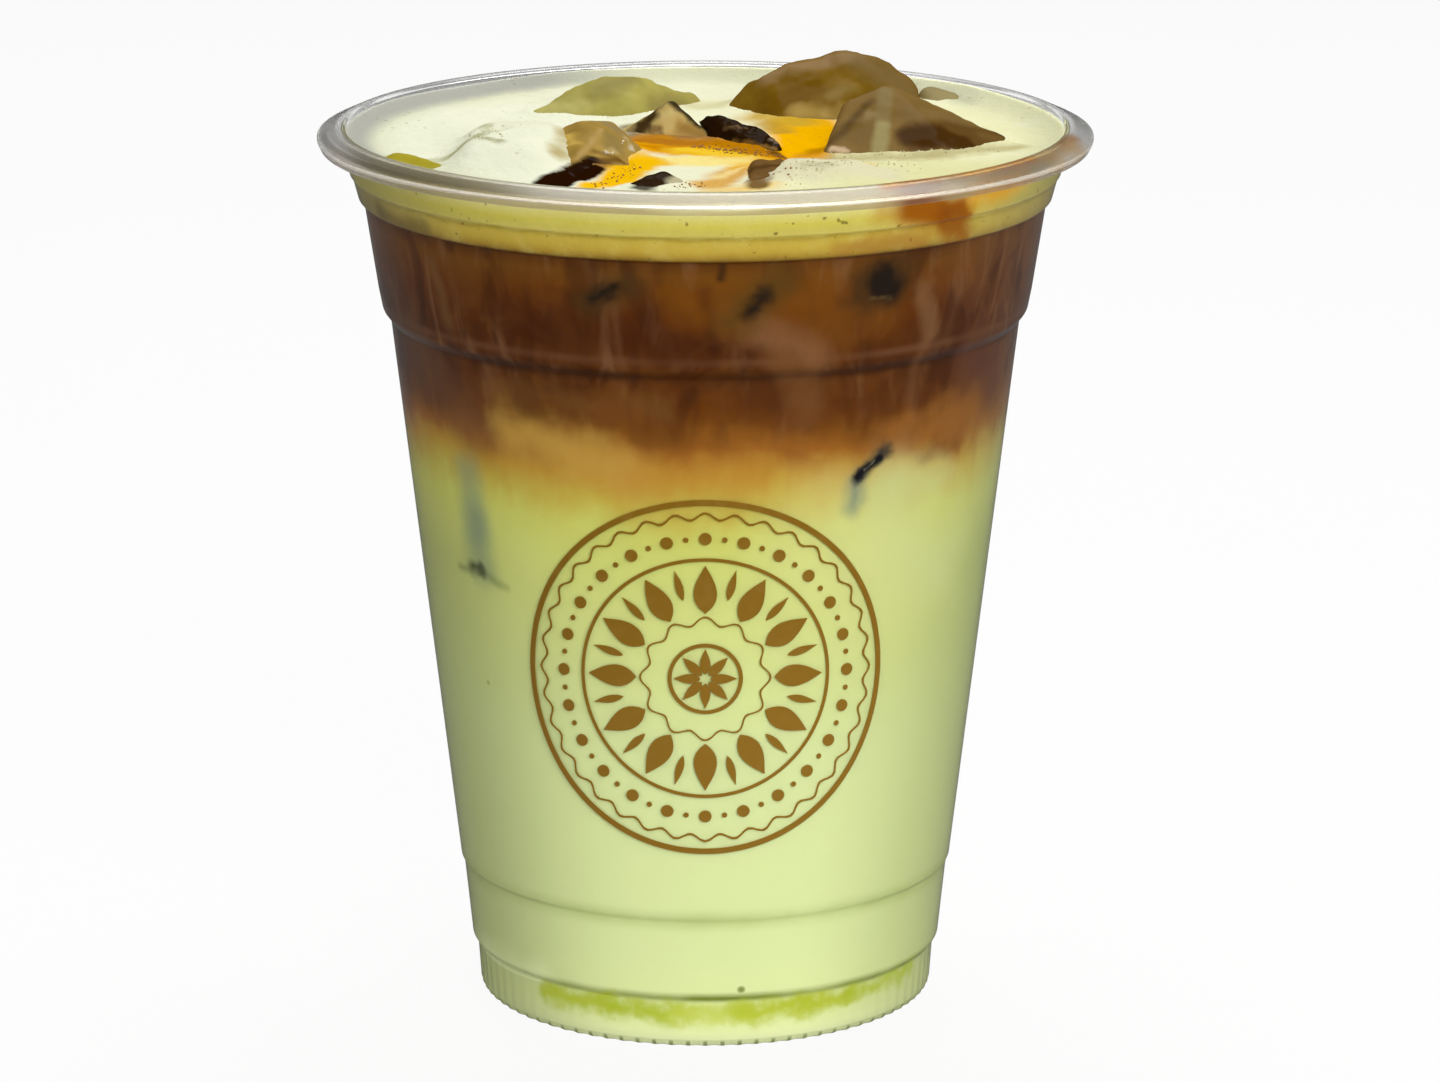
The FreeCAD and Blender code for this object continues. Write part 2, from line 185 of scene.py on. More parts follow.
def grid_faces(columns, rows):
    """Quads of a grid that is stored column by column, with its last column joined to its first."""
    faces = []
    for column in range(columns):
        low = column * rows
        next_low = (column + 1) % columns * rows
        for row in range(rows - 1):
            faces.append((low + row, next_low + row, next_low + row + 1, low + row + 1))
    return faces


def turn(name, line, around, bend):
    """Turns a line of (radius, height) round Z. bend(angle, radius, height) may move each point."""
    places = []
    for column in range(around):
        angle = 2 * math.pi * column / around
        for point in line:
            radius, height = bend(angle, *point)
            places.append((radius * math.sin(angle), -radius * math.cos(angle), height))
    return make_piece(name, places, grid_faces(around, len(line)))


# %% [markdown]
# ## The cup
# The sheet is 0.5 mm thick. Its foot is a ring with a lifted floor inside, and the ring's edge is
# notched all round so that stacked cups come apart. The rim is rolled outwards and hangs over as a
# short lip. One closed outline gives all of it, and a cosine cuts the notches as the outline turns.

# %% Foot and rim
NOTCHES = 84
NOTCH_DEPTH = 0.32
NOTCH_HEIGHT = 1.5
NOTCH_REACH = 1.4
COLUMNS_PER_NOTCH = 6
STAND_WIDTH = 2.0
BASE_SLOPE = 1.8
STAND_INNER = FOOT_RADIUS - STAND_WIDTH
FLOOR_EDGE = STAND_INNER - BASE_SLOPE
RIM_CREST = RIM_INNER + 1.2
LIP_DROP = 2.4
LIP_LEAN = 0.4
print(f"{NOTCHES} notches, {NOTCH_DEPTH} mm deep")

# %% Section of the sheet
outside = [
    (0, FLOOR_LEVEL - SHEET, 0),
    (FLOOR_EDGE, FLOOR_LEVEL - SHEET, SMALL),
    (STAND_INNER, 0, SMALL),
    (FOOT_RADIUS, 0, 1.2),
    *WALL,
    (NECK_TOP, CUP_HEIGHT - SHEET, SMALL),
    (RIM_CREST, CUP_HEIGHT - SHEET, SMALL),
    (LIP_RADIUS - SHEET, CUP_HEIGHT - 1.6, SMALL),
    (LIP_RADIUS - LIP_LEAN - SHEET, CUP_HEIGHT - LIP_DROP, 0.08),
    (LIP_RADIUS - LIP_LEAN, CUP_HEIGHT - LIP_DROP, 0.08),
    (LIP_RADIUS, CUP_HEIGHT - 1.55, SMALL),
    (LIP_RADIUS, CUP_HEIGHT - 1.1, SMALL),
    (RIM_CREST, CUP_HEIGHT, 0.75),
    (RIM_INNER, CUP_HEIGHT, 0.75),
]
inside = [
    (FOOT_RADIUS - SHEET, SHEET, 0.7),
    (STAND_INNER + SHEET / 2, SHEET, SMALL),
    (FLOOR_EDGE + SHEET / 2, FLOOR_LEVEL, SMALL),
    (0, FLOOR_LEVEL, 0),
]
inner_wall = [(radius - SHEET, height, rounding) for radius, height, rounding in reversed(WALL)]
cup_line = rounded([*outside, *inner_wall, *inside])
print("points in the section:", len(cup_line))


# %% Cup mesh
def notch_foot(angle, radius, height):
    """Draws the foot's outer edge inwards in small notches."""
    if height > NOTCH_HEIGHT or radius < FOOT_RADIUS - NOTCH_REACH:
        return radius, height
    depth = NOTCH_DEPTH * (1 - height / NOTCH_HEIGHT) * (0.5 - 0.5 * math.cos(NOTCHES * angle))
    return radius - depth, height


clear_cup = turn("clear_cup", cup_line, NOTCHES * COLUMNS_PER_NOTCH, notch_foot)

# %% [markdown]
# ## The four layers of drink
# Each layer fills the cup from wall to wall. A gap between liquid and plastic would show as a silver
# film of air, so every layer reaches 0.2 mm into the sheet. Its side follows the wall's outline
# between two wandering levels, and the same level function closes the layer above and the layer
# below, so they meet.

# %% Levels between the layers
SAUCE_DEPTH = 2.2
MILK_DEPTH = 70.0
SAUCE_WAVE = 0.45
MILK_RISE_LEFT = 2.0
MILK_RISE_FRONT = 2.5


def sauce_level(x, y):
    wave = SAUCE_WAVE * math.sin(x / 6.0 + 0.8) * math.cos(y / 7.5)
    return FLOOR_LEVEL + SAUCE_DEPTH + wave


def milk_level(x, y):
    slope = -MILK_RISE_FRONT * y / RIM_RADIUS - MILK_RISE_LEFT * x / RIM_RADIUS
    wave = math.sin(x / 9.0 + 1.3) + 0.6 * math.cos(y / 7.0 - x / 13.0)
    return FLOOR_LEVEL + MILK_DEPTH + slope + wave


def coffee_level(x, y):
    return COFFEE_LEVEL


for name, level in [("sauce", sauce_level), ("milk", milk_level), ("coffee", coffee_level)]:
    print(f"{name} up to {level(0, 0):.1f} mm")


# %% Where a level meets the wall
def drink_radius(height):
    return wall_radius(height) - SHEET + GRIP


def edge_of(level, angle):
    """Radius and height at which a level meets the wall."""
    height = level(0, 0)
    for attempt in range(3):
        radius = drink_radius(height)
        height = level(radius * math.sin(angle), -radius * math.cos(angle))
    return drink_radius(height), height


def disc_rows(level, angle, rings):
    """Places from just inside the wall to the axis along one spoke of a level."""
    radius, height = edge_of(level, angle)
    places = []
    for ring in range(1, rings + 1):
        reach = radius * (1 - ring / rings)
        x, y = reach * math.sin(angle), -reach * math.cos(angle)
        places.append((x, y, level(x, y)))
    return places


# %% Layer mesh
def make_layer(name, low_level, high_level, side_rows, around=288, cap_rings=12, high_rings=12, base_line=()):
    """A layer of drink: lower face, side against the wall, and upper face."""
    places = []
    for column in range(around):
        angle = 2 * math.pi * column / around
        across, along = math.sin(angle), -math.cos(angle)
        if base_line:
            low_height = base_line[-1][1]
            places += [(radius * across, radius * along, height) for radius, height in base_line]
        else:
            low_height = edge_of(low_level, angle)[1]
            places += reversed(disc_rows(low_level, angle, cap_rings))
        high_height = edge_of(high_level, angle)[1]
        for row in range(side_rows + 1):
            height = low_height + (high_height - low_height) * row / side_rows
            radius = drink_radius(height)
            if base_line and row == 0:
                radius = base_line[-1][0]
            places.append((radius * across, radius * along, height))
        places += disc_rows(high_level, angle, high_rings)
    return make_piece(name, places, grid_faces(around, len(places) // around))


# %% Settled pistachio, milk and coffee
foot_inside = rounded([
    (0, FLOOR_LEVEL - GRIP, 0),
    (FLOOR_EDGE + 0.35, FLOOR_LEVEL - GRIP, SMALL),
    (STAND_INNER + 0.35, SHEET - GRIP, SMALL),
    (FOOT_RADIUS - SHEET - 0.4, SHEET - GRIP, SMALL),
    (FOOT_RADIUS - SHEET + GRIP - 0.05, SHEET + 0.4, SMALL),
    (drink_radius(1.6), 1.6, 0),
])
settled_pistachio = make_layer("settled_pistachio", None, sauce_level, 30, base_line=foot_inside)
green_milk = make_layer("green_milk", sauce_level, milk_level, 170)
coffee_layer = make_layer("coffee_layer", milk_level, coffee_level, 110)

# %% [markdown]
# ## The ice
# The frame has the lumps as cut blocks. Real lumps have melted: their edges are round and their faces
# dimpled. A voxel remesh of each block gives even cells, a smoothing modifier melts the edges, and a
# slow noise dents the faces. The blocks themselves stay as they are, and are hidden behind the new
# lumps.

# %% Melt every lump
DENT_SIZE = 3.2
PIT_SIZE = 1.1
PIT_SHARE = 0.4
MEAN_DENT = 0.35
ICE = {
    "ice_right": (0.5, 6, 0.22, 0.05),
    "ice_back_right": (0.5, 34, 0.35, 0.25),
    "ice_back_left": (0.5, 30, 0.4, 0.6),
    "ice_left": (0.35, 14, 0.35, 0.4),
    "ice_middle": (0.3, 3, 0.35, 0.1),
    "ice_ridge": (0.25, 2, 0.4, 0.1),
    "ice_far_left": (0.3, 4, 0.15, 0.45),
    "ice_far_right": (0.3, 4, 0.15, 0.45),
    "ice_front_left": (0.25, 3, 0.3, 0.1),
    "ice_front_right": (0.25, 3, 0.3, 0.1),
}


def melt(node, voxel, smoothing, dents, swell):
    """A melted copy of one ice solid, swollen a little to make up for what smoothing took away."""
    piece = bpy.data.objects.new("melted_" + node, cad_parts[node].data.copy())
    piece.data.materials.clear()
    bpy.context.scene.collection.objects.link(piece)
    remesh = piece.modifiers.new("Even cells", "REMESH")
    remesh.mode = "VOXEL"
    remesh.voxel_size = voxel * MM
    smooth = piece.modifiers.new("Melted edges", "SMOOTH")
    smooth.factor = 0.5
    smooth.iterations = smoothing
    depsgraph = bpy.context.evaluated_depsgraph_get()
    mesh = bpy.data.meshes.new_from_object(piece.evaluated_get(depsgraph))
    piece.modifiers.clear()
    piece.data = mesh
    normals = [vertex.normal.copy() for vertex in mesh.vertices]
    for vertex, normal in zip(mesh.vertices, normals):
        place = vertex.co / MM
        dent = noise.noise(place / DENT_SIZE) + PIT_SHARE * noise.noise(place / PIT_SIZE)
        vertex.co += normal * ((dent - MEAN_DENT) * dents + swell) * MM
    for face in mesh.polygons:
        face.use_smooth = True
    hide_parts(node)
    print(f"{piece.name}: {len(mesh.polygons)} faces")
    return piece


ice = {node: melt(node, *values) for node, values in ICE.items()}

# %% [markdown]
# ## The foam
# Foam is a skin of tiny bubbles: nearly level, heaped where it covers an ice lump, and drawn up a
# little wherever it touches ice, as milk is at the side of a glass. A height function describes all
# of this. The distance to the nearest ice is measured with a BVH tree, which is quick for thousands
# of points.

# %% Distance to the ice
all_ice = bmesh.new()
for piece in ice.values():
    all_ice.from_mesh(piece.data)
ice_tree = BVHTree.FromBMesh(all_ice)
all_ice.free()
print("lumps in the tree:", len(ice))

# %% Heaps and dents of the foam
DRAWN_UP = 0.45
DRAWN_WIDTH = 1.0
CLIMB = 1.3
CLIMB_WIDTH = 4.0
CALM_WIDTH = 4.0
SWELL = 0.25
LUMP_HEIGHT, LUMP_SIZE = 0.22, 5.0
RIPPLE_HEIGHT, RIPPLE_SIZE = 0.12, 1.7
GRIT_HEIGHT, GRIT_SIZE = 0.05, 0.6
HEAPS = [((-24, -14.5), (6.6, 12), 3.7, -4), ((14.5, -25.5), (5.5, 5), 1.9, 0)]
DENTS = [((-25.8, -12), 1.3, 0.9), ((-29.6, -9), 1.6, 0.7), ((-21.5, -5), 1, 0.6),
         ((-19.8, -18), 1.2, 0.6), ((13, -27.5), 0.8, 0.5), ((17.5, -23.5), 0.9, 0.4),
         ((-11, -17.5), 2.6, 0.9), ((-15, -26.5), 2.4, 0.9), ((-18, -31.5), 2, 0.7),
         ((10.8, -10.5), 2, 0.6), ((-36, -20.5), 3.2, 0.7)]
print("dents:", len(DENTS))


# %% Shape of the foam's surface
def heap(x, y, place, half_size, height, spin):
    """Height of a soft-edged block that stands under the foam."""
    turned = math.radians(spin)
    across, along = x - place[0], y - place[1]
    u = (across * math.cos(turned) + along * math.sin(turned)) / half_size[0]
    v = (along * math.cos(turned) - across * math.sin(turned)) / half_size[1]
    return height / (1 + (u ** 4 + v ** 4) ** 1.5)


def foam_level(x, y):
    """Height of the foam's surface at x, y."""
    height = FOAM_LEVEL + SWELL * math.sin(x / 7.0) * math.sin(y / 8.0 + 0.6)
    for place, half_size, rise, spin in HEAPS:
        height += heap(x, y, place, half_size, rise, spin)
    radius = math.hypot(x, y)
    climb = min(1.0, max(0.0, (radius - RIM_INNER + CLIMB_WIDTH) / CLIMB_WIDTH))
    height += CLIMB * climb ** 2
    calm = min(1.0, max(0.0, (RIM_INNER - radius) / CALM_WIDTH))
    place = Vector((x, y, 0))
    lumps = LUMP_HEIGHT * noise.noise(place / LUMP_SIZE)
    ripples = RIPPLE_HEIGHT * noise.noise(place / RIPPLE_SIZE)
    height += calm * (lumps + ripples)
    height += GRIT_HEIGHT * noise.noise(place / GRIT_SIZE)
    for (dent_x, dent_y), width, depth in DENTS:
        height -= depth * math.exp(-((x - dent_x) ** 2 + (y - dent_y) ** 2) / width ** 2)
    return height


def foam_surface(x, y):
    """The foam's surface, drawn up where it touches the ice."""
    height = foam_level(x, y)
    nearest = ice_tree.find_nearest(Vector((x, y, height)) * MM)[3]
    return height + DRAWN_UP * math.exp(-nearest / MM / DRAWN_WIDTH)


# %% Foam mesh
foam_layer = make_layer("foam_layer", coffee_level, foam_surface, 44, around=480, cap_rings=8, high_rings=150)

# %% [markdown]
# ## Node helpers
# A material is a network of nodes. The helpers below add one node and set its sockets in a single
# line, so that each material can be read as a list of what it is made of. A new node goes into the
# tree of the outputs that feed it, so only the first node of a material has to name its tree.
# Colours are written as they look on a screen, from 0 to 255, and turned into the linear values that
# shaders work with.


# %% Colours and sockets
def rgb(*levels):
    """A colour given as screen levels from 0 to 255."""
    linear = []
    for level in levels:
        share = level / 255
        linear.append(share / 12.92 if share <= 0.04045 else ((share + 0.055) / 1.055) ** 2.4)
    return (*linear, 1.0)


def is_socket(value):
    return isinstance(value, bpy.types.NodeSocket)


def set_sockets(node, values):
    """Gives a node's sockets their numbers, colours or links to other nodes' outputs."""
    for name, value in dict(values).items():
        if is_socket(value):
            node.id_data.links.new(value, node.inputs[name])
        else:
            node.inputs[name].default_value = value


def add(tree, kind, values=(), **settings):
    """Adds a node. values maps its sockets to what they get."""
    made = tree.nodes.new("ShaderNode" + kind)
    for name, value in settings.items():
        setattr(made, name, value)
    set_sockets(made, values)
    return made


def add_after(kind, values, **settings):
    """Adds a node to the tree that the first output among its values comes from."""
    tree = next(value.id_data for value in values.values() if is_socket(value))
    return add(tree, kind, values, **settings)


# %% Arithmetic with nodes
def calculate(operation, *values):
    """One step of arithmetic on numbers."""
    return add_after("Math", dict(enumerate(values)), operation=operation).outputs[0]


def times(first, *others):
    """The product of all values."""
    for value in others:
        first = calculate("MULTIPLY", first, value)
    return first


def plus(first, *others):
    """The sum of all values."""
    for value in others:
        first = calculate("ADD", first, value)
    return first


def minus(value, taken):
    return calculate("SUBTRACT", value, taken)


def vector_step(operation, *values):
    """One step of arithmetic on vectors."""
    made = add_after("VectorMath", dict(enumerate(values)), operation=operation)
    return made.outputs["Value" if operation in ("DOT_PRODUCT", "LENGTH") else "Vector"]


def scaled(vector, factor):
    """A vector times a number."""
    return add_after("VectorMath", {0: vector, "Scale": factor}, operation="SCALE").outputs["Vector"]


def split(vector):
    """The x, y and z of a vector."""
    return tuple(add_after("SeparateXYZ", {0: vector}).outputs)


def from_axis(x, y):
    """Distance from the cup's axis."""
    return vector_step("LENGTH", add_after("CombineXYZ", {0: x, 1: y}).outputs[0])


# %% Masks, colours and relief
def fade(value, start, end, low=0.0, high=1.0):
    """A smooth change from low to high as value goes from start to end."""
    sockets = {"Value": value, "From Min": start, "From Max": end, "To Min": low, "To Max": high}
    return add_after("MapRange", sockets, interpolation_type="SMOOTHSTEP").outputs[0]


def blend(mask, under, over):
    """Lays the colour over onto the colour under where the mask is 1."""
    under, over = [colour if is_socket(colour) else rgb(*colour) for colour in (under, over)]
    return add_after("Mix", {0: mask, 6: under, 7: over}, data_type="RGBA").outputs[2]


def grain(place, size, detail=2.0, **sockets):
    """Noise whose lumps are about size across, in the units of place."""
    values = {"Vector": place, "Scale": 1.0 / size, "Detail": detail, **sockets}
    return add_after("TexNoise", values).outputs[0]


def bump(height, strength, depth):
    """Normals of a relief that is depth millimetres deep."""
    sockets = {"Strength": strength, "Distance": depth * MM, "Height": height}
    return add_after("Bump", sockets).outputs[0]


def place_in_mm(tree):
    """The place on the surface, in millimetres."""
    return scaled(add(tree, "TexCoord").outputs["Object"], 1 / MM)


# %% Groups of nodes
def new_group(name, inputs, outputs):
    """An empty shader node group with named sockets, and the nodes at its two ends."""
    group = bpy.data.node_groups.new(name, "ShaderNodeTree")
    for title, kind, value in inputs:
        socket = group.interface.new_socket(title, in_out="INPUT", socket_type="NodeSocket" + kind)
        socket.default_value = value
    for title, kind in outputs:
        group.interface.new_socket(title, in_out="OUTPUT", socket_type="NodeSocket" + kind)
    start = group.nodes.new("NodeGroupInput")
    end = group.nodes.new("NodeGroupOutput")
    return group, start.outputs, end.inputs


def use(tree, group, values=()):
    """Places a group in a tree and returns its outputs."""
    return add(tree, "Group", values, node_tree=group).outputs


def deliver(value, socket):
    """Links a group's result to its output."""
    group = socket.id_data
    group.links.new(value, socket)
    print(f"{group.name}: {len(group.nodes)} nodes")


# %% [markdown]
# ## Three effects that several materials share
# **Streak** is a soft stroke between two places: a spill, a stain, a shadow of sunk ice. Its edge
# wanders, because its coordinates are shaken by noise before the distance to the stroke is measured.
#
# **Wisps** are the curtains that form when coffee sinks into milk. They are noise stretched along
# the cup's height.
#
# **Froth** is the relief of packed bubbles, made from the cells of a Voronoi texture.

# %% Streak group
streak, streak_in, streak_out = new_group(
    "Streak",
    [("Start", "Vector", (0, 0, 0)), ("End", "Vector", (0, 0, 0)), ("Width", "Float", 2.0),
     ("Softness", "Float", 1.0), ("Wander", "Float", 1.0), ("Grain", "Float", 4.0)],
    [("Mask", "Float")],
)
here = place_in_mm(streak)
lumps = {"Vector": here, "Scale": calculate("DIVIDE", 1.0, streak_in["Grain"]), "Detail": 3.0}
shaken = add(streak, "TexNoise", lumps).outputs["Color"]
shift = vector_step("SUBTRACT", shaken, (0.5, 0.5, 0.5))
moved = vector_step("ADD", here, scaled(shift, times(streak_in["Wander"], 4.0)))
from_start = vector_step("SUBTRACT", moved, streak_in["Start"])
whole = vector_step("SUBTRACT", streak_in["End"], streak_in["Start"])
length_squared = calculate("MAXIMUM", vector_step("DOT_PRODUCT", whole, whole), 0.001)
share = calculate("DIVIDE", vector_step("DOT_PRODUCT", from_start, whole), length_squared)
along = add(streak, "Clamp", {"Value": share}).outputs[0]
gap = vector_step("LENGTH", vector_step("SUBTRACT", from_start, scaled(whole, along)))
outer = plus(streak_in["Width"], streak_in["Softness"])
inner = minus(streak_in["Width"], streak_in["Softness"])
deliver(fade(gap, outer, inner), streak_out["Mask"])

# %% Wisp group
wisps, wisps_in, wisps_out = new_group(
    "Wisps", [("Width", "Float", 4.0), ("Length", "Float", 30.0)], [("Value", "Float")])
x, y, z = split(place_in_mm(wisps))
stretched = add(wisps, "CombineXYZ", {
    0: calculate("DIVIDE", x, wisps_in["Width"]),
    1: calculate("DIVIDE", y, wisps_in["Width"]),
    2: calculate("DIVIDE", z, wisps_in["Length"]),
}).outputs[0]
deliver(grain(stretched, 1.0, 4.0, Distortion=0.6), wisps_out["Value"])

# %% Froth group
froth, froth_in, froth_out = new_group(
    "Froth", [("Bubble", "Float", 0.5)], [("Height", "Float")])
spacing = {"Vector": place_in_mm(froth), "Scale": calculate("DIVIDE", 1.0, froth_in["Bubble"])}
cells = add(froth, "TexVoronoi", spacing, feature="F1")
deliver(fade(cells.outputs["Distance"], 0.1, 0.5, 1.0, 0.0), froth_out["Height"])


# %% [markdown]
# ## Colour of the drink through the wall
# From the foot up, the drink goes from pale green milk through ochre to dark coffee, and the change
# is spread over two centimetres. A colour ramp over the height gives this, with the height shaken by
# noise and by the wisps. The milk, the coffee and the settled layer all read the same group, so the
# change runs on unbroken across their joint.
#
# Level lines on the wall have a height, half a width, a softness, a colour and a share. They are
# painted light: a highlight above the shoulder's crease, and painted shade in the crease, at the
# ridge and at the top of the foot.

# %% Colours by height
HEIGHT_COLOURS = [
    (0, (230, 236, 186)),
    (4, (226, 233, 172)),
    (12, (219, 228, 171)),
    (40, (216, 225, 166)),
    (55, (211, 217, 143)),
    (65, (207, 211, 123)),
    (69.5, (202, 202, 106)),
    (72.5, (194, 176, 78)),
    (75.5, (186, 148, 55)),
    (78.5, (156, 100, 32)),
    (81.8, (116, 66, 10)),
    (84.7, (100, 52, 2)),
    (88, (84, 41, 2)),
    (93.5, (80, 37, 0)),
    (96.5, (92, 44, 0)),
    (99.5, (106, 58, 2)),
    (102, (113, 69, 12)),
    # The last two stops darken the coffee just under the foam: painted shade at the neck's step.
    (103.5, (92, 52, 6)),
    (104.3, (78, 40, 2)),
]
# Painted shade: towards the right edge this darker ramp takes over, with a purplish painted reflection in the
# coffee.
SHADED_SIDE_COLOURS = [
    (0, (226, 232, 190)),
    (40, (205, 214, 154)),
    (60, (198, 208, 146)),
    (71, (192, 198, 132)),
    (74.5, (184, 176, 104)),
    (77.5, (150, 112, 60)),
    (81, (130, 84, 42)),
    (86, (100, 62, 36)),
    (90, (88, 54, 34)),
    (97, (104, 68, 42)),
    (103.5, (110, 74, 40)),
]
# Painted light: a highlight above the shoulder's crease, and painted shade in it, at the ridge and at the top
# of the foot.
PAINTED_LIGHT_LINES = [
    (91, 0.45, 0.45, (120, 80, 52), 0.55),
    (88.9, 0.6, 0.55, (54, 24, 2), 0.8),
    (17.4, 1, 1, (168, 182, 102), 0.6),
    (6.75, 0.5, 0.5, (134, 148, 62), 1),
]
print("stops:", len(HEIGHT_COLOURS), "in front and", len(SHADED_SIDE_COLOURS), "at the side")


# %% Drink colour group
def height_ramp(height, colours):
    """A colour ramp over the height, with its stops in millimetres."""
    ramp = add_after("ValToRGB", {0: calculate("DIVIDE", height, CUP_HEIGHT)})
    stops = ramp.color_ramp.elements
    while len(stops) < len(colours):
        stops.new(0.5)
    for stop, (level, colour) in zip(stops, colours):
        stop.position = level / CUP_HEIGHT
        stop.color = rgb(*colour)
    return ramp.outputs[0]


drink, drink_in, drink_out = new_group("Drink colour", [("Wander", "Float", 7.0)], [("Color", "Color")])
here = place_in_mm(drink)
x, y, height = split(here)


def drink_wisps(width, length):
    return use(drink, wisps, {"Width": width, "Length": length})["Value"]


broad = minus(grain(here, 16.0, 3.0), 0.5)
fine = minus(grain(here, 4.5, 4.0, Distortion=0.8), 0.5)
upright = minus(drink_wisps(4.0, 18.0), 0.5)
shake = plus(broad, times(fine, 0.45), times(upright, 0.35))
near_change = times(fade(height, 58.0, 72.0), fade(height, 104.0, 90.0))
shake = times(shake, near_change, drink_in["Wander"])
level = plus(height, shake)
colour = height_ramp(level, HEIGHT_COLOURS)
# Painted shade and reflection: the darker side ramp takes over towards the right edge.
side_shade = fade(x, 0.50 * RIM_RADIUS, 0.86 * RIM_RADIUS)
colour = blend(side_shade, colour, height_ramp(level, SHADED_SIDE_COLOURS))
in_coffee = fade(level, 76.0, 86.0)
mottle = fade(grain(here, 7.0, 5.0, Distortion=1.2), 0.42, 0.62)
colour = blend(times(mottle, in_coffee, 0.35), colour, (122, 74, 26))
pale_wisps = fade(drink_wisps(3.4, 15.0), 0.50, 0.78)
colour = blend(times(pale_wisps, in_coffee, 0.45), colour, (150, 108, 72))
dark_wisps = fade(drink_wisps(5.0, 12.0), 0.52, 0.34)
colour = blend(times(dark_wisps, in_coffee, 0.55), colour, (58, 22, 0))
uneven = fade(grain(here, 9.0, 2.0), 0.3, 0.7, 0.45, 1.0)
# Painted light and shade along the level lines.
for middle_height, half, softness, tint, share in PAINTED_LIGHT_LINES:
    off = calculate("ABSOLUTE", minus(height, middle_height))
    line = fade(off, half + softness, max(0.0, half - softness))
    colour = blend(times(line, uneven, share), colour, tint)
# Painted shade: the milk darkens towards both sides, where the wall turns away from the light.
around = calculate("DIVIDE", calculate("ABSOLUTE", x), from_axis(x, y))
painted_side_shade = times(fade(around, 0.35, 1.0, 0.0, 0.45), fade(height, 72.0, 60.0))
colour = blend(painted_side_shade, colour, (160, 168, 104))
deliver(colour, drink_out["Color"])

# %% [markdown]
# ## Materials of the layers
# The milk and the coffee are cloudy, so their surface against the plastic scatters light without
# gloss, and the gloss comes from the cup alone. Ice that is sunk just behind the wall shows as dark
# smudges with a sharp core. Each is a few strokes: wide ones for the shade and narrow dark ones for
# the core.
#
# A stroke is a row of start, end, width, softness, wander, grain, colour and share. Its ends are
# given in the terms that suit their place: angle and height on the wall, or x, y and the height over
# the foam's level.


# %% Material helpers
def new_material(name):
    """A material with only an output and a Principled shader."""
    material = bpy.data.materials.new(name)
    material.use_nodes = True
    tree = material.node_tree
    tree.nodes.clear()
    shader = add(tree, "BsdfPrincipled")
    output = add(tree, "OutputMaterial", {"Surface": shader.outputs[0]})
    return material, tree, shader, output


def set_shader(shader, **values):
    """Sets sockets of the Principled shader, with spaces written as underscores."""
    set_sockets(shader, {name.replace("_", " "): value for name, value in values.items()})


def give(piece, material):
    piece.data.materials.append(material)
    print(f"{piece.name}: {material.name}, {len(material.node_tree.nodes)} nodes")


# %% Strokes
STREAK_SOCKETS = ("Start", "End", "Width", "Softness", "Wander", "Grain")


def strokes_at(place, rows):
    """Strokes whose two ends are turned into places by the function place."""
    return [(place(*start), place(*end), *rest) for start, end, *rest in rows]


def add_streaks(colour, strokes):
    """Lays strokes onto a colour, the first one lowest."""
    for *shape, tint, share in strokes:
        mask = use(colour.id_data, streak, zip(STREAK_SOCKETS, shape))["Mask"]
        if share < 1:
            mask = times(mask, share)
        colour = blend(mask, colour, tint)
    return colour


# %% Ice sunk in the drink
SUNK_ICE = strokes_at(on_wall, [
    ((-19.5, 98.3), (-12.5, 100.8), 1.7, 1.7, 0.7, 3, (72, 50, 18), 0.75),
    ((-18.6, 98.8), (-14, 100.4), 0.8, 0.8, 0.6, 2, (30, 20, 8), 0.95),
    ((2.6, 103.4), (2.4, 101.8), 0.5, 0.5, 0.2, 2, (38, 22, 4), 0.85),
    ((5, 96.8), (12, 101.2), 2.3, 2.3, 0.9, 3, (86, 62, 16), 0.75),
    ((7, 97.2), (9.5, 99.4), 1, 1, 0.6, 2, (30, 18, 8), 0.95),
    ((28, 99.4), (32.5, 100.4), 3.4, 2.2, 0.9, 3, (64, 42, 14), 0.85),
    ((30, 100.6), (31.8, 99.2), 1.9, 1.1, 0.8, 2, (26, 17, 10), 0.95),
    ((28.5, 98.2), (32, 97.9), 0.3, 0.3, 0.3, 1.5, (120, 96, 50), 0.5),
    ((29, 74.6), (28.7, 71.4), 1.1, 1.4, 0.5, 3, (116, 134, 124), 0.8),
    ((29.4, 75.2), (34.9, 78), 1, 0.8, 0.7, 3, (36, 44, 48), 0.9),
    ((29.2, 75.2), (33.6, 77.2), 0.6, 0.4, 0.4, 2, (14, 12, 20), 1),
    # A painted glint on this piece of sunk ice.
    ((30.6, 75.9), (32.6, 76.9), 0.2, 0.2, 0.1, 1, (180, 180, 150), 0.8),
    ((-51, 73.5), (-49.5, 66), 2.1, 2.1, 0.6, 6, (146, 158, 122), 0.65),
    ((-50, 67), (-49.5, 61.6), 2.4, 2.3, 0.6, 5, (132, 146, 120), 0.65),
    ((-52.3, 60.8), (-49.6, 60.6), 0.8, 0.9, 0.5, 2, (32, 34, 26), 0.95),
    ((-57, 60.3), (-50, 60.5), 0.4, 0.7, 0.3, 4, (104, 112, 70), 0.65),
    ((-50, 60.3), (-42.5, 59.3), 0.4, 0.7, 0.3, 4, (104, 112, 70), 0.65),
])
print("strokes:", len(SUNK_ICE))

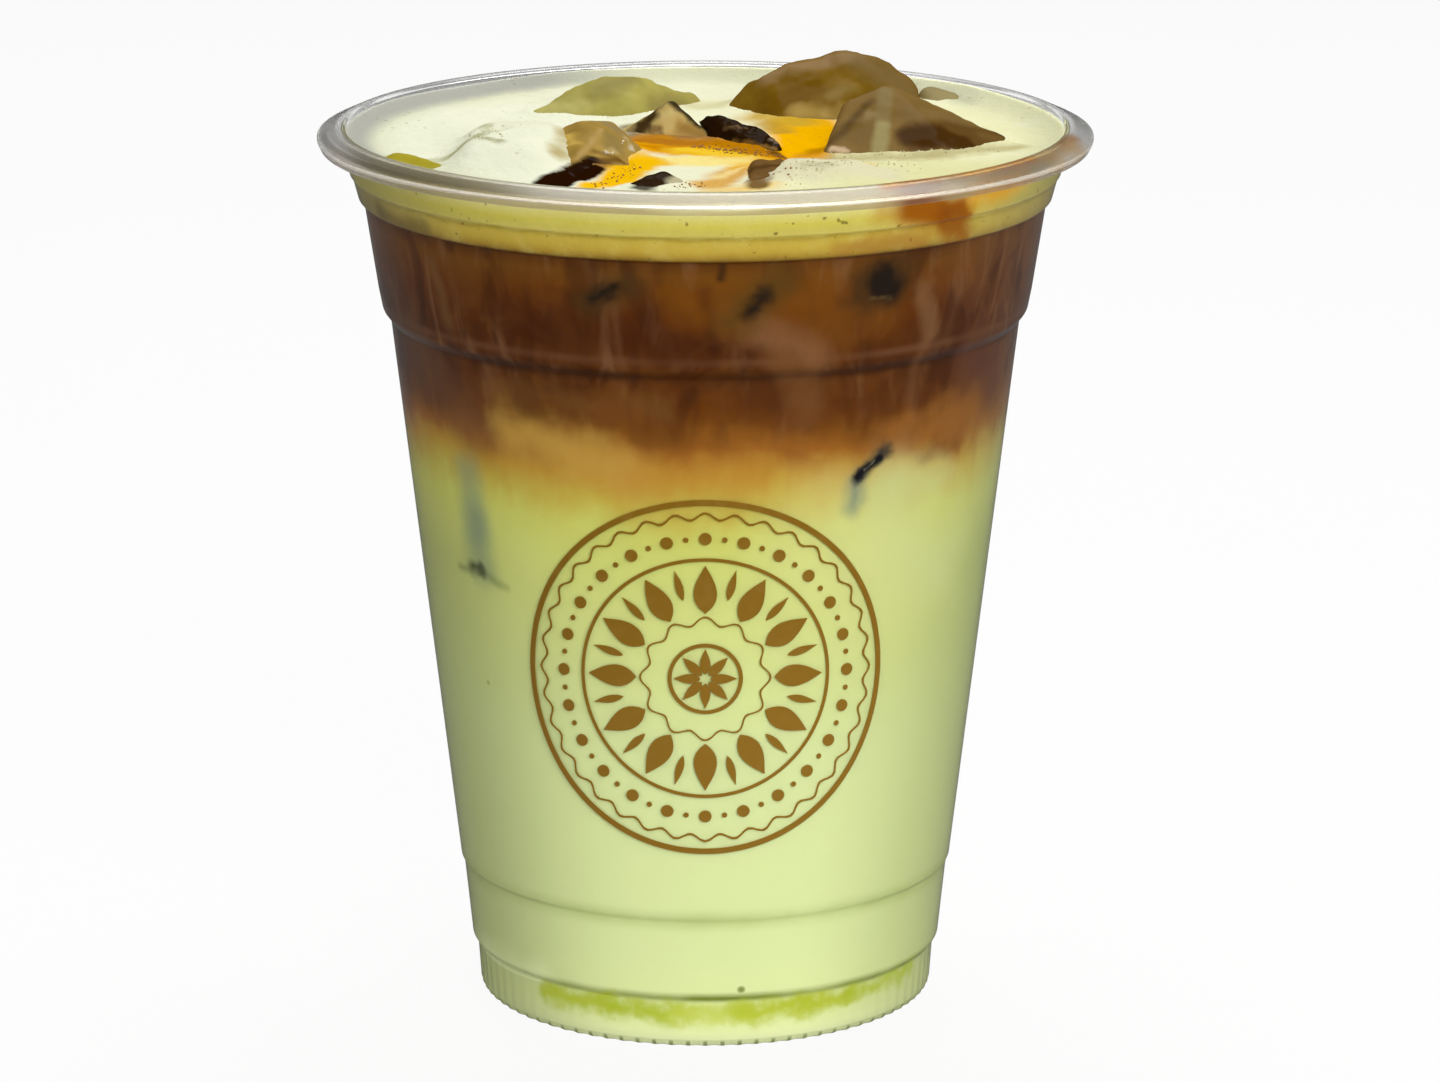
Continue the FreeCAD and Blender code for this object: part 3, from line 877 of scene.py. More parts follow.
# %% Clouds in the coffee and the milk
CLOUDS = strokes_at(on_wall, [
    ((-34, 95), (-5, 94.4), 3.4, 2.6, 1.6, 6, (66, 24, 0), 0.5),
    ((-4, 98.6), (5, 98), 2.6, 2.2, 1.4, 5, (124, 72, 4), 0.6),
    ((-38, 80), (-16, 77.4), 3, 2.6, 1.4, 5, (192, 154, 70), 0.85),
    ((-40, 85.4), (-8, 85), 2, 1.8, 1.2, 5, (122, 80, 34), 0.55),
    ((9, 85.4), (34, 85), 2.2, 2, 1.2, 5, (80, 40, 6), 0.5),
    ((-11, 81.2), (-4, 80.8), 1.6, 1.4, 1, 4, (104, 58, 12), 0.55),
    ((0, 99.8), (1.2, 92.6), 0.8, 0.8, 0.6, 4, (58, 22, 0), 0.6),
    ((7, 98.5), (30, 97), 4.6, 3.4, 1.5, 7, (124, 72, 8), 0.6),
    ((9, 94.6), (19, 91), 1.9, 1.9, 1.2, 6, (140, 98, 62), 0.65),
    ((13, 90.6), (18, 84.5), 1.8, 1.8, 1.2, 5, (122, 80, 42), 0.6),
    ((39, 99), (42, 92), 1.1, 1.1, 0.8, 5, (138, 98, 62), 0.6),
    ((41, 92), (39.5, 84.5), 1.2, 1.3, 1, 5, (124, 82, 48), 0.5),
    ((37, 80.2), (58, 81.4), 2.6, 1.7, 1.6, 5, (150, 98, 40), 0.75),
    ((44, 76.6), (53, 77), 1.3, 1.2, 1.2, 4, (126, 78, 30), 0.65),
    ((56, 88), (66, 84), 3.4, 3, 1.2, 6, (96, 60, 44), 0.6),
    ((-52, 100.5), (-50, 93), 1.1, 1.1, 0.8, 5, (126, 88, 48), 0.55),
    ((-62, 88), (-48, 80), 4, 3.6, 1.5, 7, (118, 80, 52), 0.5),
    ((-70, 100), (-64, 86), 4, 3.6, 1, 7, (98, 66, 44), 0.5),
    ((-12, 76), (10, 76.5), 2, 2, 1.2, 6, (182, 132, 48), 0.45),
    # The last four strokes are wide pale washes that lighten the milk on the right and at the foot's left.
    ((22, 66), (36, 62), 7, 7, 2, 9, (214, 216, 156), 0.4),
    ((36, 70), (50, 62), 6, 6, 2, 9, (204, 210, 152), 0.55),
    ((36, 73.5), (50, 72.6), 2.4, 2.6, 1.2, 5, (198, 204, 142), 0.55),
    ((-78, 4), (-46, 4), 4, 2.5, 1, 6, (240, 246, 200), 0.55),
])
print("strokes:", len(CLOUDS))

# %% Pistachio settled at the foot
SETTLED = strokes_at(on_wall, [
    ((-43, 4.9), (-24, 5), 1.35, 1.25, 0.9, 2.4, (184, 195, 62), 0.95),
    ((-24, 5), (-6, 4.6), 1.35, 1.25, 0.9, 2.4, (182, 194, 60), 0.95),
    ((-6, 4.4), (10, 4.6), 1.25, 1.25, 0.9, 2.4, (198, 208, 88), 0.85),
    ((8, 4.7), (24, 4.9), 1.35, 1.25, 0.9, 2.4, (186, 196, 60), 0.95),
    ((24, 4.9), (38, 5.1), 1.3, 1.2, 0.9, 2.4, (184, 194, 60), 0.95),
    ((38, 5.1), (62, 5.6), 1.1, 1.1, 0.9, 2.4, (178, 190, 64), 0.9),
    ((8.5, 7.9), (8.7, 7.9), 0.5, 0.2, 0, 2, (116, 126, 48), 0.9),
    ((-51.5, 45.7), (-51.4, 45.7), 0.35, 0.2, 0, 2, (120, 120, 60), 0.8),
])
print("strokes:", len(SETTLED))


# %% Milk, coffee and settled pistachio
def make_drink_material(name, strokes):
    """A cloudy liquid with strokes on it. It has no gloss, as the plastic in front has its own."""
    material, tree, shader, output = new_material(name)
    colour = use(tree, drink, {"Wander": 7.0})["Color"]
    set_shader(shader, Base_Color=add_streaks(colour, strokes), Roughness=0.6, Specular_IOR_Level=0.0)
    return material


give(coffee_layer, make_drink_material("Coffee", CLOUDS + SUNK_ICE))
give(green_milk, make_drink_material("Pistachio milk", CLOUDS + SETTLED + SUNK_ICE))
give(settled_pistachio, make_drink_material("Settled pistachio", SETTLED))

# %% [markdown]
# ## Foam
# Seen through the neck, the foam is a yellow-green band with a few dark specks. From above it is
# almost white, with orange coffee streaks that run between the ice lumps and a fine relief of
# bubbles. One material does both: the band's colours are laid only where the surface faces the wall.


# %% Coffee streaks and painted shade on the foam
def over_foam(x, y, lift=0.0):
    return x, y, FOAM_LEVEL + lift


FOAM_STREAKS_AND_SHADE = strokes_at(over_foam, [
    # Painted shade: the first stroke darkens the foam under the back rim, the second between the two back
    # lumps.
    ((23.5, 35.5, -0.1), (34, 26, -0.1), 1.9, 1.7, 0.6, 4, (184, 184, 158), 0.75),
    ((-1.5, 22), (5, 24.5), 2.2, 2, 0.4, 5, (212, 206, 152), 0.75),
    ((-9.8, 9), (-9, 0.5), 1.4, 1, 0.6, 3, (134, 110, 70), 0.85),
    ((-14.6, -23.5), (-10.2, -18), 2, 0.8, 0.5, 3, (150, 104, 30), 0.95),
    ((-8.4, -0.6, 0.3), (0.6, -1.8, 0.3), 2.2, 0.9, 0.6, 4, (176, 128, 68), 0.95),
    ((-6.5, -5), (8.5, -12.2), 5.6, 1.6, 1.2, 5, (232, 166, 8), 1),
    ((-7.5, -1.6), (-1, -3.6), 2, 1.2, 0.9, 4, (176, 112, 30), 0.9),
    ((-7, -6.5), (-3.5, -7.5), 2, 1.5, 1.2, 4, (204, 132, 4), 0.9),
    ((-2.5, -8.6), (5.5, -10.4), 2.3, 1.6, 1.2, 4, (246, 204, 52), 0.95),
    ((1.5, -4.6), (10, -11.6), 2, 1.3, 0.9, 3, (188, 122, 4), 0.95),
    ((-7.6, -16.6), (4.5, -15.4), 3, 1.8, 1.4, 5, (250, 230, 140), 0.95),
    ((-8.4, -13.2), (-5.6, -18), 1.6, 1.2, 0.9, 3, (240, 190, 66), 0.9),
    ((12.6, 8), (13.2, -8), 4.6, 1.4, 0.5, 4, (248, 184, 0), 1),
    ((7.6, 13), (11.5, 10), 3.4, 2.4, 0.8, 4, (206, 168, 52), 0.9),
    ((8.2, 8), (9.4, 3.5), 1.6, 1.4, 0.8, 4, (190, 152, 52), 0.8),
    ((14.6, -9.5), (11.6, -14), 2.2, 1.4, 0.8, 4, (188, 130, 6), 0.9),
    # This dark stroke is the ridge's tail and its painted shadow on the foam.
    ((8.6, -10), (10.8, -13.2), 0.7, 0.4, 0.5, 3, (92, 58, 16), 0.85),
    ((11.5, -11), (14, -13), 1.6, 1, 0.6, 3, (236, 164, 40), 0.9),
    ((-10.8, -28.5), (-7.8, -17), 2.7, 1, 0.5, 3, (248, 192, 10), 1),
    ((-13.8, -31.8), (-9.5, -30), 1.8, 0.8, 0.5, 3, (252, 196, 16), 1),
    ((0.5, -31.5), (4.6, -22), 2.5, 1.4, 0.8, 4, (222, 166, 62), 0.9),
    ((5, -20), (8, -15.5), 2.4, 1.4, 0.8, 4, (240, 182, 48), 0.9),
    ((1.6, -26.5), (5.8, -19), 0.8, 0.7, 0.7, 3, (252, 232, 160), 0.7),
    ((1.6, -36), (7, -33.5), 2.2, 1.5, 0.8, 4, (244, 204, 110), 0.8),
    ((14.5, -15), (18.5, -18.5), 1.8, 1.4, 0.9, 4, (240, 196, 104), 0.75),
    # The next two strokes are painted shade along the foot of ice_right.
    ((16.5, -14), (28.5, -13.6), 1.9, 1.8, 0.8, 3, (184, 172, 118), 0.75),
    ((28.5, -13.6), (38.8, -6.5), 1.9, 1.8, 0.8, 3, (184, 172, 118), 0.75),
    # Painted shadow: a near-black strip along the foam under the front edge of ice_left.
    ((-19, -31.8, -0.3), (-14.4, -23.5, 0.4), 2.1, 0.5, 0.5, 3, (38, 16, 2), 1),
    ((-7.4, -34.5), (-5.6, -29.5), 1.5, 0.5, 0.4, 3, (40, 26, 12), 0.9),
    ((6.4, -33.5), (7.2, -27), 1.6, 0.6, 0.4, 3, (106, 74, 34), 0.9),
    # Painted shade: the grey and tan strokes on the left heap shade its facets, dents and edges; the pale one
    # tones its top.
    ((-31, -17.5, 1.6), (-28, -15.5, 2.6), 1.3, 1.1, 0.6, 3, (168, 168, 118), 0.9),
    ((-27.5, -7.5, 3.4), (-20.5, -8, 3.4), 3, 2, 0.8, 4, (236, 235, 206), 0.8),
    ((-27.2, -18.4, 3), (-25.4, -21.4, 3.2), 0.8, 0.6, 0.6, 2, (156, 156, 106), 0.8),
    ((-28, -9, 3.2), (-26, -14, 3.4), 0.8, 0.7, 0.7, 2, (186, 186, 142), 0.7),
    ((-34.5, -15.5), (-31.6, -18.5, 0.6), 1.2, 1, 0.6, 3, (176, 176, 126), 0.6),
    ((-18.3, -22, 1.5), (-17.8, -10, 2), 1.3, 1.1, 0.5, 3, (190, 172, 112), 0.9),
    # Painted shade: the next three strokes darken the mound at the front right, most along its edges.
    ((11, -26, 1.4), (18.5, -25, 1.6), 5.5, 2.2, 1.2, 4, (228, 222, 186), 0.85),
    ((11.5, -20.6, 1), (15.5, -20.6, 1), 2.2, 1.9, 0.9, 3, (186, 164, 122), 0.8),
    ((12.5, -28, 1.8), (14.5, -27, 1.9), 1.4, 1.2, 0.9, 2, (186, 178, 138), 0.6),
])
print("strokes:", len(FOAM_STREAKS_AND_SHADE))

# %% Foam behind the neck
NECK_COLOURS = [
    # The dark stop at the bottom and the one at 106.9 mm are painted shade along the neck's step and its
    # groove.
    (103.9, (120, 84, 30)),
    (104.5, (168, 138, 52)),
    (105.2, (192, 166, 66)),
    (106.2, (200, 176, 74)),
    (106.55, (190, 168, 68)),
    (106.9, (166, 146, 54)),
    (107.2, (202, 188, 98)),
    (107.6, (196, 184, 92)),
    (108.6, (204, 193, 88)),
    (109.6, (215, 208, 128)),
    (110.8, (226, 220, 172)),
]
NECK_STAINS_AND_SHADE = strokes_at(on_wall, [
    # The first two strokes are painted shade along the neck's step at the left; the rest are coffee stains.
    ((-82, 105.2), (-66, 104.9), 1.3, 1.2, 0.6, 4, (118, 100, 60), 0.4),
    ((-66, 104.9), (-52, 104.4), 1.4, 1.3, 0.6, 4, (112, 92, 46), 0.65),
    ((21, 105.3), (37, 105.2), 0.9, 0.9, 0.7, 3, (168, 120, 50), 0.65),
    ((28, 109.6), (33, 108.8), 1.4, 1.4, 0.7, 3, (188, 136, 50), 0.55),
    ((34, 109.8), (43, 107.6), 2.5, 1.5, 0.6, 3, (158, 92, 0), 1),
    ((40, 108), (43, 107), 1.2, 1.2, 0.6, 3, (134, 70, 0), 0.7),
    ((42, 106.4), (46, 104.8), 1.4, 1.3, 0.6, 3, (152, 94, 14), 0.85),
    ((47, 109.8), (60, 110.4), 1.7, 1.5, 0.7, 3, (218, 162, 28), 0.85),
])
print("stops:", len(NECK_COLOURS), "and strokes:", len(NECK_STAINS_AND_SHADE))

# %% Foam material
foam_material, tree, shader, output = new_material("Milk foam")
here = place_in_mm(tree)
x, y, height = split(here)
reach = from_axis(x, y)
fine_froth = use(tree, froth, {"Bubble": 0.45})["Height"]
coarse_froth = use(tree, froth, {"Bubble": 1.3})["Height"]
tone = blend(fade(x, -18.0, 20.0), (241, 243, 216), (240, 238, 190))
tone = blend(fade(y, 14.0, 36.0, 0.0, 0.8), tone, (240, 240, 208))
tone = blend(fade(grain(here, 8.0, 4.0), 0.45, 0.75, 0.0, 0.5), tone, (250, 249, 228))
# Painted shade: the foam darkens towards the rim, and shaded_edge greys it further on the left.
tone = blend(fade(reach, 37.0, 44.5, 0.0, 0.6), tone, (204, 207, 170))
shaded_edge = times(fade(reach, 40.8, 43.8, 0.0, 0.9), fade(x, -5.0, -24.0))
tone = blend(shaded_edge, tone, (172, 172, 164))
front_right = times(fade(x, 6.0, 22.0), fade(y, -6.0, -24.0))
tone = blend(times(front_right, 0.85), tone, (228, 226, 168))
tone = add_streaks(tone, FOAM_STREAKS_AND_SHADE)
pits = fade(coarse_froth, 0.86, 0.98)
scattered = fade(grain(here, 6.0, 3.0), 0.52, 0.66)
tone = blend(times(pits, scattered, 0.45), tone, (150, 130, 70))
shaken_height = plus(height, fade(grain(here, 5.0, 3.0), 0.3, 0.7, -0.12, 0.12))
band = height_ramp(shaken_height, NECK_COLOURS)
band = blend(fade(grain(here, 3.0, 3.0), 0.45, 0.75, 0.0, 0.25), band, (214, 202, 116))
specks = fade(grain(here, 0.9, 1.0), 0.70, 0.77)
band = blend(times(specks, 0.7), band, (96, 84, 30))
# Painted shade: the neck band darkens towards both sides.
side_shade = fade(calculate("ABSOLUTE", x), 26.0, 43.0, 0.0, 0.5)
band = blend(side_shade, band, (160, 154, 104))
band = add_streaks(band, NECK_STAINS_AND_SHADE)
facing = split(add(tree, "NewGeometry").outputs["True Normal"])[2]
at_wall = times(fade(facing, 0.45, 0.30), fade(reach, 40.5, 42.0))
colour = blend(at_wall, tone, band)
relief = bump(plus(fine_froth, times(coarse_froth, -1.5)), 0.3, 0.1)
set_shader(shader, Base_Color=colour, Roughness=0.5, Specular_IOR_Level=0.0, Normal=relief)
give(foam_layer, foam_material)

# %% [markdown]
# ## Clear plastic
# The sheet is a glass shader with little roughness. Blender's glass casts a full shadow, while a real
# clear cup lets nearly all the light through to the drink. Mixing in a Transparent shader for shadow
# rays only gives that light back. The rolled rim is rougher than the wall. Its grey and beige tints
# are painted shade and reflection, and the dark line of its crease and the darker notches of the foot
# are painted shade, all in the glass colour. Coffee that was spilled over the rim stains the sheet
# brown, so the stain is laid into the glass colour, and a white stroke along the front of the rim is a
# painted highlight.

# %% Coffee on the rim, and a painted highlight
RIM_STAIN_AND_HIGHLIGHT = strokes_at(over_foam, [
    ((41, -22, 2), (45.5, -12, 2), 2.4, 1.8, 1, 4, (196, 156, 88), 0.8),
    ((43.8, -14, 2), (45.6, -9, 2), 1.2, 0.9, 0.6, 3, (180, 118, 50), 0.8),
    ((22, -40.8, 2), (32, -33.4, 2), 1.2, 0.8, 0.7, 4, (176, 108, 10), 0.95),
    ((32, -33.4, 2), (39.5, -24.2, 2), 1.2, 0.8, 0.7, 4, (184, 120, 30), 0.95),
    # Painted highlight along the front of the rim.
    ((-9, -49, 0.4), (12, -49, 0.4), 0.6, 0.5, 0.4, 5, (255, 252, 248), 0.9),
])
print("strokes:", len(RIM_STAIN_AND_HIGHLIGHT))


# %% Clear plastic
def mix_shaders(share, first, second):
    return add_after("MixShader", {0: share, 1: first.outputs[0], 2: second.outputs[0]}).outputs[0]


clear_plastic, tree, shader, output = new_material("Clear plastic")
here = place_in_mm(tree)
x, y, height = split(here)
reach = from_axis(x, y)
below_top = minus(CUP_HEIGHT, height)
on_rim = times(fade(reach, RIM_INNER + 0.3, RIM_CREST), fade(below_top, 3.2, 2.6))
# Painted shade and reflection: the rim's grey tint, beige and darker at the front, greyer at the back left,
# lighter at the lip.
painted_rim_shade = blend(fade(y, -6.0, -32.0), (216, 215, 212), (164, 155, 130))
lip = times(fade(below_top, 0.9, 1.5), fade(y, -8.0, -20.0))
painted_rim_shade = blend(lip, painted_rim_shade, (214, 205, 194))
back_left = times(fade(y, 12.0, 26.0), fade(x, 0.0, -12.0))
painted_rim_shade = blend(back_left, painted_rim_shade, (172, 172, 170))
tint = blend(on_rim, (252, 253, 252), painted_rim_shade)
# Painted shade: a dark line in the rim's crease.
off_crease = calculate("ABSOLUTE", minus(below_top, 0.75))
crease = times(fade(off_crease, 0.26, 0.10), fade(x, 4.0, -16.0, 0.0, 0.75))
tint = blend(times(crease, fade(y, 4.0, -10.0)), tint, (88, 80, 62))
# Painted shade: the foot's notches are darker.
teeth = calculate("COSINE", times(calculate("ARCTAN2", x, y), float(NOTCHES)))
in_notch = times(fade(teeth, 0.55, 0.9), fade(height, 1.1, 0.5))
on_edge = times(in_notch, fade(reach, FOOT_RADIUS - 1.5, FOOT_RADIUS - 0.9))
tint = blend(on_edge, tint, (120, 130, 100))
tint = add_streaks(tint, RIM_STAIN_AND_HIGHLIGHT)
roughness = fade(on_rim, 0.0, 1.0, 0.03, 0.24)
ripples = bump(grain(here, 7.0, 1.0), 0.12, 0.2)
set_shader(shader, Base_Color=tint, Roughness=roughness, IOR=1.5, Transmission_Weight=1.0, Normal=ripples)
lit_through = add(tree, "BsdfTransparent")
shadow_ray = add(tree, "LightPath").outputs["Is Shadow Ray"]
tree.links.new(mix_shaders(shadow_ray, shader, lit_through), output.inputs["Surface"])
give(clear_cup, clear_plastic)

# %% [markdown]
# ## Ice
# Ice that has lain in coffee looks brown and cloudy, and darker where coffee lies behind it. Light
# traced through clear lumps would take long and show little of that, so each lump is nearly all body
# colour with a trace of transmission. Strokes of darker and lighter tone draw its depth and most of
# its highlights: the palest are painted highlights and glints, and the darkest are painted shade on
# its undersides. A faint coat adds a wet sheen.


# %% Ice material
def make_ice_material(name, body, strokes):
    """Ice whose body has one colour, with lighter clouds and strokes of other tones in it."""
    material, tree, shader, output = new_material(name)
    here = place_in_mm(tree)
    cloud = fade(grain(here, 5.0, 3.0), 0.35, 0.7, 0.0, 0.6)
    lighter = tuple(min(255, level * 1.16) for level in body)
    colour = add_streaks(blend(cloud, body, lighter), strokes_at(over_foam, strokes))
    dimples = bump(grain(here, 1.6, 2.0), 0.12, 0.2)
    set_shader(shader, Base_Color=colour, Roughness=0.35, IOR=1.31, Transmission_Weight=0.03,
               Specular_IOR_Level=0.0, Coat_Weight=0.04, Coat_Roughness=0.1, Normal=dimples)
    return material


# %% Tones of each lump
# Pale strokes on the lumps are painted highlights and glints, and the darkest strokes along their lower edges
# are painted shade.
ICE_LOOKS = {
    "ice_right": ((124, 98, 50), [
        ((25.6, -5.6, 3.6), (33, -3.4, 2.2), 1.3, 1, 0.6, 5, (128, 104, 62), 0.7),
        ((26.8, -9.2, 2), (37.8, -3, 0.8), 2.6, 0.9, 0.6, 5, (98, 70, 28), 0.9),
        ((25.4, -9.4, 2.4), (33, -8.2, 1.3), 2, 0.8, 0.9, 4, (70, 42, 8), 0.9),
        ((22.6, -3.4, 6.6), (22.1, -8, 3.2), 0.95, 0.5, 0.2, 4, (144, 124, 78), 0.85),
        ((22.1, -8, 3.2), (21.6, -11.2, 0.2), 0.95, 0.5, 0.2, 4, (164, 150, 98), 0.9),
        ((19.6, -8.4, 1), (20.6, -5.8, 4), 0.6, 0.5, 0.5, 3, (156, 136, 94), 0.6),
        ((15.8, -9.8, 1.2), (20.6, -4.6, 5.6), 0.5, 0.5, 0.3, 3, (82, 60, 28), 0.7),
        ((16.2, -10.8, 0.4), (17.2, -11, 0.8), 0.6, 0.4, 0.5, 2, (226, 198, 162), 0.8),
        ((35.2, -3.6, 1.3), (38.5, -2.4, 0.5), 0.9, 0.8, 0.4, 3, (116, 88, 46), 0.8),
    ]),
    "ice_back_right": ((124, 94, 24), [
        ((10, 15, 2), (13, 14.5, 3.4), 2.4, 2.2, 1, 5, (114, 80, 6), 0.8),
        ((8, 19, 4.4), (20, 19, 7.4), 1.2, 1.1, 0.5, 4, (158, 128, 88), 0.85),
        ((20, 19, 7), (26, 20, 2.6), 2.2, 2, 0.8, 4, (134, 110, 66), 0.8),
        ((12, 12, 1), (18, 12, 0.6), 1.5, 1.2, 0.8, 4, (196, 166, 90), 0.85),
        ((16.5, 14, 3), (19, 15, 3.8), 0.9, 0.9, 0.6, 3, (150, 124, 64), 0.7),
    ]),
    "ice_back_left": ((170, 160, 84), [
        ((-14, 16, 3.5), (-10, 20, 4.3), 1.4, 1.3, 0.6, 4, (150, 140, 80), 0.8),
        ((-6, 18, 1.4), (-3, 21, 0.8), 1.6, 1.5, 0.6, 4, (146, 132, 76), 0.8),
        ((-21, 17, 0.4), (-16, 16, 0.4), 1.4, 1.4, 0.6, 4, (196, 188, 116), 0.8),
    ]),
    "ice_left": ((166, 136, 66), [
        ((-16.6, -8, 2.6), (-16.4, -20, 1.4), 1.1, 1, 0.5, 4, (140, 112, 46), 0.8),
        ((-14.6, -12, 2.8), (-14.6, -20, 1.4), 0.9, 0.8, 0.4, 4, (160, 130, 62), 0.8),
        ((-11.2, -14.5, 1.8), (-11.4, -12, 2.6), 1.6, 1, 0.5, 3, (146, 126, 72), 0.8),
        ((-13, -11, 3.1), (-15.8, -21.5, 1.2), 0.4, 0.4, 0.2, 3, (192, 160, 98), 0.7),
        ((-16.8, -12, 2.4), (-16.3, -16, 1.9), 0.9, 0.9, 0.4, 3, (212, 180, 90), 0.75),
        ((-13.4, -7.5, 3.8), (-10.5, -9, 3), 0.9, 0.8, 0.4, 3, (146, 128, 90), 0.8),
        ((-9.9, -9.5, 2.6), (-9, -12.6, 1.2), 0.35, 0.3, 0.3, 2, (214, 204, 176), 0.8),
        ((-12.4, -17, 1.3), (-11.2, -15.6, 1.5), 0.7, 0.5, 0.5, 2, (206, 186, 132), 0.55),
        ((-12.3, -16.8, 1.2), (-12, -16.2, 1.6), 0.22, 0.12, 0.3, 0.7, (252, 246, 226), 0.95),
        ((-11.6, -16.3, 1.2), (-11.4, -15.9, 1.5), 0.14, 0.1, 0.3, 0.7, (250, 242, 220), 0.95),
        ((-12.8, -15.6, 1.9), (-12.7, -15.4, 2), 0.1, 0.08, 0.2, 0.7, (250, 242, 220), 0.9),
        ((-11.3, -13.6, 1.9), (-11.2, -13.4, 2), 0.12, 0.08, 0.2, 0.7, (250, 242, 220), 0.9),
        ((-10.2, -12, 1.8), (-9.8, -11, 2.2), 0.22, 0.15, 0.5, 0.8, (250, 244, 224), 0.9),
        ((-13.6, -17.4, 1.4), (-12, -17.2, 1.2), 0.7, 0.6, 0.4, 3, (112, 82, 34), 0.7),
        # Painted shadow: a near-black strip under the lump's front edge.
        ((-17.2, -28, 0.3), (-13.6, -20.6, 0.8), 1.5, 0.5, 0.4, 3, (36, 15, 2), 1),
        ((-12.6, -19.4, 0.5), (-10.6, -17.4, 0.4), 0.8, 0.6, 0.4, 3, (102, 68, 16), 0.9),
    ]),
    "ice_middle": ((212, 190, 118), [
        ((-4.8, 1, 2.8), (-5, 1, 1.4), 0.9, 0.9, 0.3, 3, (240, 224, 154), 0.75),
        ((-3, 0.5, 1.2), (1, -1, 0.6), 0.9, 0.8, 0.4, 3, (176, 142, 74), 0.8),
        ((-7.4, 1.6, 0.7), (-5.8, 0.9, 0.7), 0.5, 0.4, 0.4, 2, (132, 108, 66), 0.85),
        ((-8.8, 2.2, 1), (-7.2, 2.2, 2.5), 1.2, 0.6, 0.5, 2, (52, 34, 14), 0.95),
        ((-8, 2.8, 1.3), (-7, 1.8, 1), 0.6, 0.5, 0.4, 2, (74, 54, 26), 0.9),
        ((-9.8, 3, 0.2), (-9.2, 3, 1), 0.6, 0.4, 0.3, 2, (160, 138, 92), 0.9),
        ((-6.9, 2.6, 2.7), (-4.6, 2.2, 4.1), 0.3, 0.3, 0.2, 2, (96, 76, 44), 0.85),
        ((-4, 1.9, 4.5), (0.3, 0.3, 0.9), 0.8, 0.35, 0.25, 2, (38, 22, 6), 0.95),
    ]),
    "ice_ridge": ((40, 24, 6), [
        ((8.2, -7.2, 1.4), (10, -8.4, 0.8), 0.5, 0.4, 0.5, 1, (140, 122, 98), 0.8),
        ((6.6, -5.4, 1.9), (7.4, -6.4, 1.6), 0.25, 0.15, 0.5, 1, (196, 178, 140), 0.8),
        ((3.2, -2.2, 2), (5.2, -3.6, 2), 0.22, 0.15, 0.4, 1, (120, 92, 56), 0.7),
        ((2.6, -2, 1.6), (4, -3.2, 1.6), 0.3, 0.3, 0.3, 1, (110, 84, 54), 0.6),
        ((3.8, -4.4, 0.5), (9, -9.8, 0.3), 0.4, 0.35, 0.4, 2, (144, 108, 50), 0.85),
    ]),
    "ice_far_left": ((162, 150, 44), []),
    "ice_far_right": ((150, 136, 92), []),
    "ice_front_left": ((44, 29, 12), [
        ((-3.6, -31.5, 0.6), (-2, -29, 0.4), 0.9, 0.6, 0.5, 2, (206, 196, 156), 0.85),
    ]),
    "ice_front_right": ((112, 82, 42), [
        ((5, -26, 0.8), (9.5, -25, 1.4), 0.6, 0.5, 0.3, 2, (84, 56, 22), 0.8),
    ]),
}
for node, (body, strokes) in ICE_LOOKS.items():
    give(ice[node], make_ice_material("Wet " + node.replace("_", " "), body, strokes))

# %% [markdown]
# ## Bubbles on the foam
# Where the coffee was poured through the foam, single bubbles stand along the ice lumps and in the
# hollows. Each is a small ball that sits half in the foam. They are scattered along short lines by a
# seeded random generator, so that every run gives the same bubbles.

# %% Where bubbles stand
BUBBLE_LINES = [
    ((-1.5, -6.2), (11, -12.4), 0.8, 170),
    ((-12.5, -32.5), (-8.5, -20), 1.2, 50),
    ((9.5, -31), (17, -27), 2.8, 70),
    ((14.5, -13.5), (37, -9.8), 0.7, 90),
    ((-3.5, -34.5), (0.5, -30), 1.2, 30),
    ((-29, -18), (-25, -12), 2.2, 30),
    ((14, -20), (26, -17), 2.2, 40),
]
BUBBLE_SEED = 5
SMALLEST_BUBBLE = 0.06
BUBBLE_GROWTH = 0.12
BUBBLE_LIFT = 0.2
print("bubbles:", sum(line[3] for line in BUBBLE_LINES))


# %% One bubble
def ball(centre, radius, around=8, rows=5):
    """Places and faces of a small ball."""
    places = [centre + Vector((0, 0, -radius))]
    for row in range(1, rows):
        tilt = math.pi * row / rows
        for column in range(around):
            angle = 2 * math.pi * column / around
            across = math.sin(tilt)
            spoke = Vector((across * math.cos(angle), across * math.sin(angle), -math.cos(tilt)))
            places.append(centre + radius * spoke)
    places.append(centre + Vector((0, 0, radius)))
    faces = [(0, 1 + (column + 1) % around, 1 + column) for column in range(around)]
    for row in range(rows - 2):
        low = 1 + row * around
        for column in range(around):
            beside = (column + 1) % around
            faces.append((low + column, low + beside, low + around + beside, low + around + column))
    last = len(places) - 1
    low = last - around
    faces += [(last, low + column, low + (column + 1) % around) for column in range(around)]
    return places, faces


# %% Scatter the bubbles
scatter = random.Random(BUBBLE_SEED)
places, faces = [], []
for start, end, spread, count in BUBBLE_LINES:
    for number in range(count):
        share = scatter.random()
        x = start[0] + (end[0] - start[0]) * share + scatter.gauss(0, spread / 2)
        y = start[1] + (end[1] - start[1]) * share + scatter.gauss(0, spread)
        radius = SMALLEST_BUBBLE + BUBBLE_GROWTH * scatter.random() ** 2.5
        centre = Vector((x, y, foam_surface(x, y) + BUBBLE_LIFT * radius))
        ball_places, ball_faces = ball(centre, radius)
        faces += [tuple(index + len(places) for index in face) for face in ball_faces]
        places += ball_places
foam_bubbles = make_piece("foam_bubbles", places, faces)

